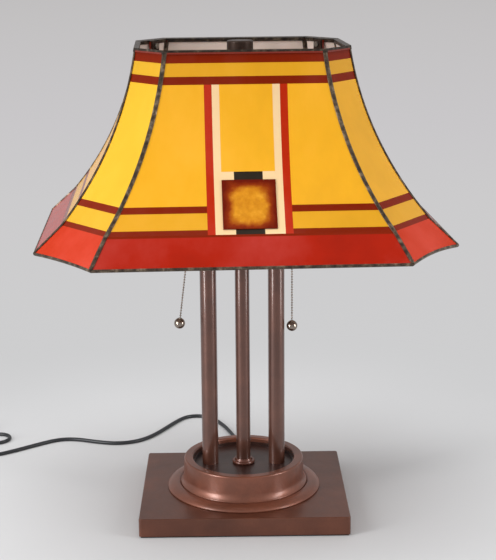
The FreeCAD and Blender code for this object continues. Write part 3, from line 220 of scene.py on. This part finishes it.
def srgb(red, green, blue):
    """A colour of 0-255 sRGB values as linear values."""
    def linear(value):
        value /= 255
        return value / 12.92 if value <= 0.04045 else ((value + 0.055) / 1.055) ** 2.4
    return tuple(linear(value) for value in (red, green, blue))


def shaded(color, factor):
    return tuple(value * factor for value in color)


BAND_RED = srgb(132, 32, 1)   # the dark bands round the shade


def bronze(name, color, coat=0.45, coat_roughness=0.2, coat_ior=1.5):
    """Dark red-brown lacquer on metal, cloudy, with a satin gloss, more polished on tubes."""
    nodes = Nodes(name)
    clouds = nodes.noise(22, 4, 0.55)
    fine = nodes.noise(420, 3, 0.6)
    grain = nodes.noise(90, 3, 0.6)
    base = nodes.ramp(clouds, [
        (0.3, shaded(color, 0.72)), (0.5, color), (0.7, shaded(color, 1.35))])
    speckled = nodes.mix(nodes.spread(fine, 0.0, 0.5), base, shaded(color, 0.5))
    nodes.bump((fine, 0.12, 0.0004), (grain, 0.1, 0.0008))
    return nodes.set(Base_Color=speckled, Metallic=0.4, Roughness=nodes.spread(grain, 0.36, 0.48),
                     Coat_Weight=coat, Coat_Roughness=coat_roughness, Coat_IOR=coat_ior)


def patina():
    """Darkened solder on lead came, uneven to the touch, with paler flecks where it is rubbed."""
    nodes = Nodes("came_patina")
    color = solder(nodes, (50, 41, 34), (88, 74, 60), (146, 130, 108))
    return nodes.set(Base_Color=color, Metallic=0.6)


def solder(nodes, dark, middle, light):
    """The uneven colour, bumps and gloss of darkened solder."""
    clouds = nodes.noise(150, 4, 0.65)
    lumps = nodes.noise(260, 2, 0.5)
    nodes.bump((lumps, 0.55, 0.0012), (nodes.noise(900, 2), 0.2, 0.0003))
    nodes.set(Roughness=nodes.spread(lumps, 0.3, 0.5))
    return nodes.ramp(clouds, [(0.34, srgb(*dark)), (0.52, srgb(*middle)), (0.68, srgb(*light))])


def rim_patina():
    """The dark came of the top edge; below its lip the outer face is the band's dark red."""
    nodes = Nodes("top_rim_patina")
    metal = solder(nodes, (34, 28, 24), (58, 48, 40), (104, 92, 78))
    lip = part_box("top_rim")[1].z - RIM_LIP * MM
    below = nodes.math("LESS_THAN", nodes.height(), lip)
    band = nodes.math("MULTIPLY", below, outer_side(nodes))
    turned = nodes.node("Mapping", {"Vector": nodes.place(),
                                    "Rotation": (0, 0, -math.radians(SHADE_TURN))}).outputs[0]
    plan = nodes.vector("MULTIPLY", nodes.vector("ABSOLUTE", turned), (1, 1, 0))
    for corner in TOP_CORNERS:
        gap = nodes.vector("DISTANCE", plan, Vector(corner) * MM)
        band = nodes.math("MULTIPLY", band, nodes.math("GREATER_THAN", gap, RIM_SEAM * MM))
    color = nodes.mix(band, metal, shaded(BAND_RED, GLASS_DEPTH))
    return nodes.set(Base_Color=color, Metallic=nodes.spread(band, 0.6, 0.0))


def plain_metal(name, color, roughness, scale=300, metallic=1.0):
    """Bare metal with a little variation and fine marks."""
    nodes = Nodes(name)
    marks = nodes.noise(scale, 3, 0.6)
    base = nodes.ramp(marks, [(0.3, shaded(color, 0.8)), (0.7, shaded(color, 1.1))])
    nodes.bump((marks, 0.1, 0.0002))
    return nodes.set(Base_Color=base, Metallic=metallic,
                     Roughness=nodes.spread(marks, roughness - 0.08, roughness + 0.08))


def glass(name, color, wisps=0.06, inner=None, narrow_fields_painted_darker=False, dark_above=None):
    """Opalescent glass: colour in soft wisps on the outside, a pale milky face on the inside.
    The panes between two bands, at the top and the bottom, are painted a little darker as
    painted shade, and the wide skirts are dark above a height, where the band over them
    reaches round the fold."""
    nodes = Nodes(name)
    color = shaded(color, GLASS_DEPTH)
    outside = glass_face(nodes, color, wisps)
    if narrow_fields_painted_darker:
        up = nodes.height()
        low, high = (edge.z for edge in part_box("front_glass"))
        # Painted shade: the narrow fields at the top and the bottom take a darker copy of the glass colour.
        painted_shade_fields = nodes.math("ADD", nodes.math("LESS_THAN", up, low + LOW_FIELD * MM),
                            nodes.math("GREATER_THAN", up, high - HIGH_FIELD * MM))
        outside = nodes.mix(painted_shade_fields, outside, glass_face(nodes, shaded(color, 0.87), wisps))
    if dark_above:
        band = nodes.math("GREATER_THAN", nodes.height(), dark_above * MM)
        outside = nodes.mix(band, outside, shaded(BAND_RED, GLASS_DEPTH))
    inner = inner or srgb(214, 192, 176)
    milk = nodes.ramp(nodes.noise(30, 3), [(0.3, shaded(inner, 0.88)), (0.7, shaded(inner, 1.05))])
    return glass_shader(nodes, nodes.mix(outer_side(nodes), milk, outside))


def glass_face(nodes, color, wisps):
    """The glass's own colour in slow, upright wisps."""
    swirl = nodes.noise(9, 5, 0.62, stretch=(1, 1, 0.45))
    return nodes.ramp(swirl, [
        (0.25, shaded(color, 1 - 2.2 * wisps)), (0.5, color),
        (0.75, tuple(min(1, value * (1 + 1.3 * wisps) + 0.25 * wisps) for value in color)),
    ])


def outer_side(nodes):
    """1 on faces that look away from the lamp's axis, 0 on those that look at it."""
    flat = nodes.vector("MULTIPLY", nodes.place(), (1, 1, 0))
    facing = nodes.vector("DOT_PRODUCT", flat, nodes.coordinates.outputs["Normal"])
    return nodes.math("GREATER_THAN", facing, 0.0)


def glass_shader(nodes, color):
    """Gloss, slight ripples and a little light carried inside the glass."""
    ripple = nodes.noise(26, 2, 0.4)
    seeds = nodes.noise(240, 2, 0.5)
    nodes.bump((ripple, 0.18, 0.004), (seeds, 0.05, 0.0004))
    return nodes.set(Base_Color=color, Roughness=nodes.spread(seeds, 0.14, 0.24), IOR=1.5,
                     Specular_IOR_Level=0.09, Subsurface_Weight=0.1,
                     Subsurface_Radius=(0.004, 0.002, 0.001))


def jewel_glass():
    """Amber in the middle of each square, burnt red-brown towards its edges."""
    nodes = Nodes("jewel_glass")
    low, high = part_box("center_jewels")
    half_height = (high.z - low.z) / 2
    middle = (high.z + low.z) / 2
    turn = math.radians(SHADE_TURN)
    wander = nodes.noise(70, 3, 0.6)
    across = nodes.vector("DOT_PRODUCT", nodes.place(), (math.cos(turn), math.sin(turn), 0))
    across = nodes.math("DIVIDE", nodes.math("ABSOLUTE", across), JEWEL_HALF_WIDTH)
    up = nodes.math("ABSOLUTE", nodes.math("SUBTRACT", nodes.height(), middle))
    edge = nodes.math("SMOOTH_MAX", across, nodes.math("DIVIDE", up, half_height))
    stray = nodes.math("MULTIPLY", nodes.math("SUBTRACT", wander, 0.5), 0.35)
    edge = nodes.math("ADD", edge, stray)
    amber = nodes.ramp(nodes.noise(120, 4, 0.6), [
        (0.35, srgb(196, 124, 22)), (0.55, srgb(208, 138, 28)), (0.7, srgb(220, 154, 42))])
    rim = nodes.ramp(edge, [(0.6, srgb(158, 58, 10)), (0.95, srgb(100, 20, 3))])
    blend = nodes.node("MapRange", {"Value": edge, "From Min": 0.5, "From Max": 0.8},
                       interpolation_type="SMOOTHSTEP").outputs["Result"]
    face = nodes.mix(blend, amber, rim)
    color = nodes.mix(outer_side(nodes), srgb(170, 130, 100), face)
    return glass_shader(nodes, color)


def plastic(name, color, roughness=0.4):
    """A dark moulded plastic or rubber with a fine grain."""
    nodes = Nodes(name)
    grain = nodes.noise(700, 2)
    base = nodes.ramp(grain, [(0.3, shaded(color, 0.85)), (0.7, shaded(color, 1.15))])
    nodes.bump((grain, 0.08, 0.0002))
    return nodes.set(Base_Color=base,
                     Roughness=nodes.spread(grain, roughness - 0.06, roughness + 0.06))


def felt():
    nodes = Nodes("felt_pile")
    pile = nodes.noise(900, 4, 0.7)
    base = nodes.ramp(pile, [(0.3, srgb(28, 26, 24)), (0.7, srgb(58, 54, 50))])
    nodes.bump((pile, 0.5, 0.0006))
    return nodes.set(Base_Color=base, Roughness=0.95, Sheen_Weight=0.3)


def frosted_bulb():
    nodes = Nodes("bulb_frost")
    haze = nodes.noise(40, 3)
    base = nodes.ramp(haze, [(0.3, srgb(226, 222, 212)), (0.7, srgb(244, 242, 236))])
    nodes.bump((nodes.noise(900, 2), 0.05, 0.0002))
    return nodes.set(Base_Color=base, Roughness=nodes.spread(haze, 0.3, 0.42),
                     Subsurface_Weight=0.2, Subsurface_Radius=(0.004, 0.004, 0.004))


MATERIALS = {
    "felt": felt(),
    "bronze": bronze("bronze_finish", srgb(116, 66, 50)),
    "iron": plain_metal("cast_iron", srgb(60, 60, 60), 0.7),
    "steel": plain_metal("plated_steel", srgb(150, 146, 138), 0.35),
    "brass": plain_metal("aged_brass", srgb(150, 118, 66), 0.35, metallic=0.9),
    "insulator": plastic("black_phenolic", srgb(32, 30, 29)),
    "rubber": plastic("black_rubber", srgb(33, 33, 35), 0.5),
    "cord": plastic("cord_jacket", srgb(36, 38, 42), 0.42),
    "bulb_glass": frosted_bulb(),
    "bulb_base": plain_metal("bulb_cap", srgb(190, 190, 186), 0.3),
    "chain": plain_metal("dark_nickel", srgb(150, 138, 128), 0.16, metallic=0.95),
    "came": patina(),
    "amber_glass": glass("amber_glass", srgb(250, 181, 40), narrow_fields_painted_darker=True),
    "red_glass": glass("red_glass", srgb(190, 42, 10), 0.08, srgb(200, 160, 146)),
    "dark_glass": glass("dark_red_glass", BAND_RED, 0.05, srgb(232, 212, 200)),
    "cream_glass": glass("cream_glass", srgb(252, 216, 164), 0.04),
    "jewel_glass": jewel_glass(),
    "black_glass": glass("black_glass", srgb(42, 33, 22), 0.05, srgb(90, 80, 74)),
}
SKIRT_GLASS = glass("skirt_glass", srgb(174, 30, 4), 0.1, srgb(200, 160, 146),
                    dark_above=SKIRT_FOLD - BAND_OVER_FOLD)
# Painted light: copies of the amber glass for the two front corner panes, tinted for how the light falls on each;
# the left one lighter, as a painted highlight from the light on the left.
LIT_LEFT_CORNER_GLASS = glass("amber_glass_painted_lit_left", srgb(250, 192, 52), narrow_fields_painted_darker=True)
LIT_RIGHT_CORNER_GLASS = glass("amber_glass_painted_lit_right", srgb(246, 180, 56), narrow_fields_painted_darker=True)
# Painted sheen: the corner skirts take a lighter copy of the red skirt glass, standing in for the light they
# catch.
LIT_CORNER_SKIRT_GLASS = glass("corner_skirt_glass_painted_sheen", srgb(206, 56, 24), 0.1, srgb(200, 160, 146))
# Painted shade: the dish inside the pedestal's rim takes a darker copy of the bronze, for the shade in its hollow.
SHADED_DISH_BRONZE = bronze("dish_bronze_painted_shade", srgb(66, 38, 30), 0.25)
# Painted light and shade: the base plate takes a darker and the pedestal ring a lighter copy of the one bronze, as
# bright as each looks under the lights.
SHADED_PLATE_BRONZE = bronze("plate_bronze_painted_shade", srgb(106, 60, 42), 0.3)
LIT_RING_BRONZE = bronze("ring_bronze_painted_light", srgb(130, 75, 54))
TUBE_BRONZE = bronze("tube_bronze", srgb(100, 59, 44), 0.9, 0.12)
DARK_BRONZE = plain_metal("dark_bronze", srgb(62, 46, 38), 0.4, metallic=0.6)


def dress(thing, material):
    """Give a piece one material in place of those it has."""
    thing.data.materials.clear()
    thing.data.materials.append(material)


for subpart in frame["record"]["subparts"]:
    dress(NODES[subpart["node"]], MATERIALS[subpart["material_slot"]])
for material, names in (
        (rim_patina(), ["top_rim"]),
        (DARK_BRONZE, ["finial", "shade_spider", "seat_washer"]),
        (SHADED_DISH_BRONZE, ["dish_plate"]), (SHADED_PLATE_BRONZE, ["base_plate"]),
        (LIT_RING_BRONZE, ["pedestal_ring"]),
        (TUBE_BRONZE, ["column_left", "column_center", "column_right"]),
        (LIT_LEFT_CORNER_GLASS, ["front_left_corner_glass"]),
        (LIT_RIGHT_CORNER_GLASS, ["front_right_corner_glass"])):
    for name in names:
        dress(NODES[name], material)


def in_scene(name, data):
    """A new object, linked to the scene."""
    thing = bpy.data.objects.new(name, data)
    bpy.context.scene.collection.objects.link(thing)
    return thing


# ---------------------------------------------------------------- cord

def coil_points():
    """The put-away cord: a lower layer winding in, and an upper one winding out over it."""
    low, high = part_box("cord_coil")
    middle = (low + high) / 2
    steps = int(COIL_TURNS * COIL_STEPS)
    sweep = (COIL_ENTRY - COIL_LEAVE) % math.tau + math.tau * math.floor(2 * COIL_TURNS)
    points = []
    for step in range(1, 2 * steps + 1):
        share = step / (2 * steps)
        angle = COIL_ENTRY - sweep * share
        turns_in = sweep / math.tau * min(share, 1 - share)
        radius = COIL_OUTER - CORD_DIAMETER * turns_in * COIL_PITCH
        lift = min(1, max(0, (share - COIL_CLIMB) / CLIMB_LENGTH))
        height = CORD_DIAMETER * (COIL_LOW + lift)
        points.append((middle.x + radius * math.cos(angle),
                       middle.y + radius * math.sin(angle), height))
    return points


def make_cord():
    """One smooth line from the strain relief over the table, round the coil, to the plug."""
    low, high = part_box("cord_plug")
    plug_x, plug_z = (low.x + high.x) / 2, (low.z + high.z) / 2
    points = [Vector(point) * MM for point in CORD_ROUTE]
    points += [Vector(point) for point in coil_points()]
    points.append(Vector((plug_x, low.y + 0.004, plug_z)))
    curve = bpy.data.curves.new("supply_cord", "CURVE")
    curve.dimensions = "3D"
    curve.bevel_depth = CORD_DIAMETER / 2
    curve.bevel_resolution = 5
    curve.resolution_u = 6
    spline = curve.splines.new("NURBS")
    spline.points.add(len(points) - 1)
    for control, point in zip(spline.points, points):
        control.co = (*point, 1)
    spline.order_u = 3
    spline.use_endpoint_u = True
    cord = in_scene("supply_cord", curve)
    dress(cord, MATERIALS["cord"])
    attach(cord, "lamp_stand")
    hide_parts("cord_run", "cord_coil")


# ---------------------------------------------------------------- pieces from mesh code

def mesh_object(name, mesh, material, body, smooth=True):
    """A new piece from a bmesh, dressed and riding a body."""
    data = bpy.data.meshes.new(name)
    bmesh.ops.recalc_face_normals(mesh, faces=mesh.faces)
    mesh.to_mesh(data)
    mesh.free()
    if smooth:
        data.shade_smooth()
    thing = in_scene(name, data)
    dress(thing, material)
    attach(thing, body)
    return thing


def bead_chain(side):
    """Round beads strung on a wire, from the switch's link to the ball."""
    joint = next(j for j in frame["joints"] if j["name"] == f"chain_{side}_swing")
    top = Vector(joint["pos_m"])
    low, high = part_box(f"pull_ball_{side}")
    ball = (low + high) / 2
    way = (ball - top).normalized()
    start, finish = top + way * CHAIN_START, ball - way * CHAIN_END
    length = (finish - start).length
    count = int(length / BEAD_PITCH)
    mesh = bmesh.new()
    for index in range(count + 1):
        middle = start + way * (length * index / count)
        bmesh.ops.create_uvsphere(mesh, u_segments=12, v_segments=8, radius=BEAD_RADIUS,
                                  matrix=Matrix.Translation(middle))
    turn = Vector((0, 0, 1)).rotation_difference(way).to_matrix().to_4x4()
    bmesh.ops.create_cone(mesh, cap_ends=True, segments=8, radius1=BEAD_WIRE, radius2=BEAD_WIRE,
                          depth=length, matrix=Matrix.Translation((start + finish) / 2) @ turn)
    chain = mesh_object(f"bead_chain_{side}", mesh, MATERIALS["chain"], f"chain_{side}")
    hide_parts(f"pull_chain_{side}")


# ---------------------------------------------------------------- skirt and its came

def skirt_outline(height, inset):
    """The skirt's corners in plan at a height, so deep under the outer face of the glass."""
    rise = height - SKIRT_BOTTOM
    width, depth = SKIRT_WIDTH - SKIRT_SLOPE * rise, SKIRT_DEPTH - SKIRT_SLOPE * rise
    cut = SKIRT_CUT - (SKIRT_CUT - FOLD_CUT) * rise / (SKIRT_FOLD - SKIRT_BOTTOM)
    step = inset / math.cos(LEAN)
    x, y = width - step, depth - CORNER_SLANT * cut - step / 3
    u, v = width - cut - step / 2, depth - step
    return [(x, y), (u, v), (-u, v), (-x, y), (-x, -y), (-u, -v), (u, -v), (x, -y)]


def skirt_point(side, share, up, inset):
    """A point by its side, its share of the way along it, how far it is up the slope from the
    lower edge, and how deep under the outer face."""
    height = SKIRT_BOTTOM + up * math.cos(LEAN) - inset * math.sin(LEAN)
    outline = skirt_outline(height, inset)
    (x0, y0), (x1, y1) = outline[side % SIDES], outline[(side + 1) % SIDES]
    x, y = x0 + (x1 - x0) * share, y0 + (y1 - y0) * share
    turn = math.radians(SHADE_TURN)
    return MM * Vector((x * math.cos(turn) - y * math.sin(turn),
                        x * math.sin(turn) + y * math.cos(turn), height))


def side_length(side):
    """Length of a side's lower edge, in millimetres."""
    return (skirt_point(side, 1, 0, 0) - skirt_point(side, 0, 0, 0)).length / MM


def arch_lift(side, share):
    """How far the lower edge has risen up the slope; it is straight on the wide sides."""
    return CORNER_ARCH.get(side, 0) * 4 * share * (1 - share)


def stations(side, first=0.0, last=1.0):
    """Shares of a side that follow its edge: its ends, and steps between where it is arched."""
    steps = ARCH_STEPS if side in CORNER_ARCH else 1
    return [first + (last - first) * step / steps for step in range(steps + 1)]


def skin(mesh, rings, closed=False):
    """Faces round and between rings of points, with caps unless the last joins the first."""
    rows = [[mesh.verts.new(point) for point in ring] for ring in rings]
    pairs = list(zip(rows, rows[1:])) + ([(rows[-1], rows[0])] if closed else [])
    for one, other in pairs:
        for index in range(len(one)):
            after = (index + 1) % len(one)
            mesh.faces.new((one[index], one[after], other[after], other[index]))
    if not closed:
        mesh.faces.new(rows[0])
        mesh.faces.new(rows[-1])


def skirt_panes(name, sides, material, nodes):
    """Red panes below the fold, whose edges stand in the came."""
    in_came, in_rim = 1.3, 0.2
    fold = (SKIRT_FOLD - SKIRT_BOTTOM) / math.cos(LEAN)
    mesh = bmesh.new()
    for side in sides:
        tuck = in_came / side_length(side)
        rings = []
        for share in stations(side, tuck, 1 - tuck):
            low = in_rim + arch_lift(side, share)
            rings.append([skirt_point(side, share, up, inset) for up, inset in (
                (low, 0), (fold, 0), (fold, GLASS_THICK), (low, GLASS_THICK))])
        skin(mesh, rings)
    panes = mesh_object(name, mesh, material, "shade", smooth=False)
    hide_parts(*nodes)


def edge_came():
    """The thin rounded came round the lower edge, and the ends of the seams' came above it."""
    profile = [(1.5, -0.2), (1.1, -0.55), (0.2, -0.65), (-0.5, -0.2), (-0.9, 0.8), (-1.0, 1.5),
               (-0.9, 2.2), (-0.5, 3.2), (0.2, 3.65), (1.1, 3.55), (1.5, 3.2)]
    mesh = bmesh.new()
    rings = []
    for side in range(SIDES):
        for share in stations(side)[:-1]:
            lift = arch_lift(side, share)
            rings.append([skirt_point(side, share, up + lift, inset) for up, inset in profile])
    skin(mesh, rings, closed=True)
    came_width, came_low, came_high, came_out, came_in = 2.3, 0.6, 6.0, -0.96, 3.96
    for side in range(SIDES):
        width = came_width / side_length(side)
        for first, last in ((0, width), (1 - width, 1)):
            skin(mesh, [[skirt_point(side, share, up, inset) for up, inset in (
                (came_low, came_out), (came_high, came_out), (came_high, came_in),
                (came_low, came_in))] for share in (first, last)])
    came = mesh_object("edge_came", mesh, MATERIALS["came"], "shade", smooth=False)
    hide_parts("bottom_rim")


# ---------------------------------------------------------------- studio and camera

def seen_directly(tree):
    """1 for what the camera sees straight, in a gloss or through glass, 0 for light it casts."""
    path = tree.nodes.new("ShaderNodeLightPath")
    total = path.outputs["Is Camera Ray"]
    for name in ("Is Glossy Ray", "Is Transmission Ray"):
        both = tree.nodes.new("ShaderNodeMath")
        both.operation = "MAXIMUM"
        tree.links.new(total, both.inputs[0])
        tree.links.new(path.outputs[name], both.inputs[1])
        total = both.outputs[0]
    return total


def floor():
    """A wide pale floor: real and shaded round the lamp; further away it glows a grey that is painted darker with
    distance, as painted falloff of the light.
    """
    mesh = bmesh.new()
    mesh.faces.new([mesh.verts.new((x * FLOOR_REACH, y * FLOOR_REACH, 0))
                    for x, y in ((-1, -1), (1, -1), (1, 1), (-1, 1))])
    data = bpy.data.meshes.new("floor")
    mesh.to_mesh(data)
    mesh.free()
    plane = in_scene("floor", data)
    nodes = Nodes("pale_paper")
    paper = nodes.ramp(nodes.noise(3, 2), [(0.3, srgb(209, 209, 210)), (0.7, srgb(212, 212, 213))])
    nodes.set(Base_Color=paper, Roughness=0.9)
    distance = nodes.vector("LENGTH", nodes.place())
    steps = nodes.math("LOGARITHM", nodes.math("ADD", distance, 1.0), 31.0, clamp=True)
    # Painted falloff: the glowing grey seen past the lamp darkens with distance.
    grey = nodes.ramp(steps, [(0.15, srgb(206, 206, 207)), (0.33, srgb(204, 203, 204)),
                              (0.45, srgb(201, 199, 201)), (0.62, srgb(197, 195, 196)),
                              (0.9, srgb(*FAR_GREY))])
    blend = nodes.node("MapRange", {"Value": distance, "From Min": FLOOR_NEAR,
                                    "From Max": FLOOR_FAR},
                       interpolation_type="SMOOTHSTEP").outputs["Result"]
    glow = nodes.node("Emission", {"Color": grey})
    mixed = nodes.node("MixShader", {0: nodes.math("MULTIPLY", blend, seen_directly(nodes.tree)),
                                     1: nodes.shader.outputs[0], 2: glow.outputs[0]})
    nodes.feed(nodes.tree.nodes["Material Output"].inputs["Surface"], mixed.outputs[0])
    dress(plane, nodes.material)


def area_light(name, place, target, size, power):
    """A white rectangle that shines from its place at a target."""
    light = bpy.data.lights.new(name, "AREA")
    light.shape = "RECTANGLE"
    light.size, light.size_y = size
    light.energy = power
    lamp = in_scene(name, light)
    lamp.location = place
    lamp.rotation_euler = (Vector(target) - Vector(place)).to_track_quat("-Z", "Y").to_euler()
    return lamp


def studio():
    """Soft light from all round, a grey background, the lights and the floor."""
    world = bpy.data.worlds.new("studio")
    world.use_nodes = True
    tree = world.node_tree
    soft = tree.nodes["Background"]
    soft.inputs["Color"].default_value = (0.98, 0.99, 1, 1)
    soft.inputs["Strength"].default_value = 0.42
    behind = tree.nodes.new("ShaderNodeBackground")
    behind.inputs["Color"].default_value = (*srgb(*FAR_GREY), 1)
    mixed = tree.nodes.new("ShaderNodeMixShader")
    for source, target in ((seen_directly(tree), 0), (soft.outputs[0], 1), (behind.outputs[0], 2)):
        tree.links.new(source, mixed.inputs[target])
    tree.links.new(mixed.outputs[0], tree.nodes["World Output"].inputs["Surface"])
    bpy.context.scene.world = world
    for settings in LIGHTS:
        lamp = area_light(*settings)
        if lamp.name == "top":
            lamp.visible_glossy = False
        if lamp.name.endswith("strip"):
            lamp.visible_diffuse = False
            lamp.visible_camera = False
    floor()
    bpy.context.scene.view_settings.view_transform = "Standard"


def camera():
    """A long lens in front of the lamp, a little above its shade."""
    data = bpy.data.cameras.new("camera")
    data.lens = CAMERA_LENS
    data.sensor_width = CAMERA_SENSOR
    data.clip_end = 50
    eye = in_scene("camera", data)
    pitch, yaw, roll = CAMERA_PITCH, CAMERA_YAW, CAMERA_ROLL
    ahead = Vector((math.sin(yaw) * math.cos(pitch), math.cos(yaw) * math.cos(pitch),
                    math.sin(pitch)))
    level = Vector((math.cos(yaw), -math.sin(yaw), 0))
    above = level.cross(ahead)
    right = math.cos(roll) * level + math.sin(roll) * above
    upward = math.cos(roll) * above - math.sin(roll) * level
    turn = Matrix((right, upward, -ahead)).transposed().to_4x4()
    eye.matrix_world = Matrix.Translation(CAMERA_PLACE) @ turn
    bpy.context.scene.camera = eye


make_cord()
bead_chain("left")
bead_chain("right")
corner_skirts = [name for name in NODES if name.endswith("corner_skirt")]
wide_skirts = [name for name in NODES if name.endswith("_skirt") and name not in corner_skirts]
skirt_panes("wide_skirt_panes", range(1, SIDES, 2), SKIRT_GLASS, wide_skirts)
skirt_panes("corner_skirt_panes", range(0, SIDES, 2), LIT_CORNER_SKIRT_GLASS, corner_skirts)
edge_came()
studio()
camera()
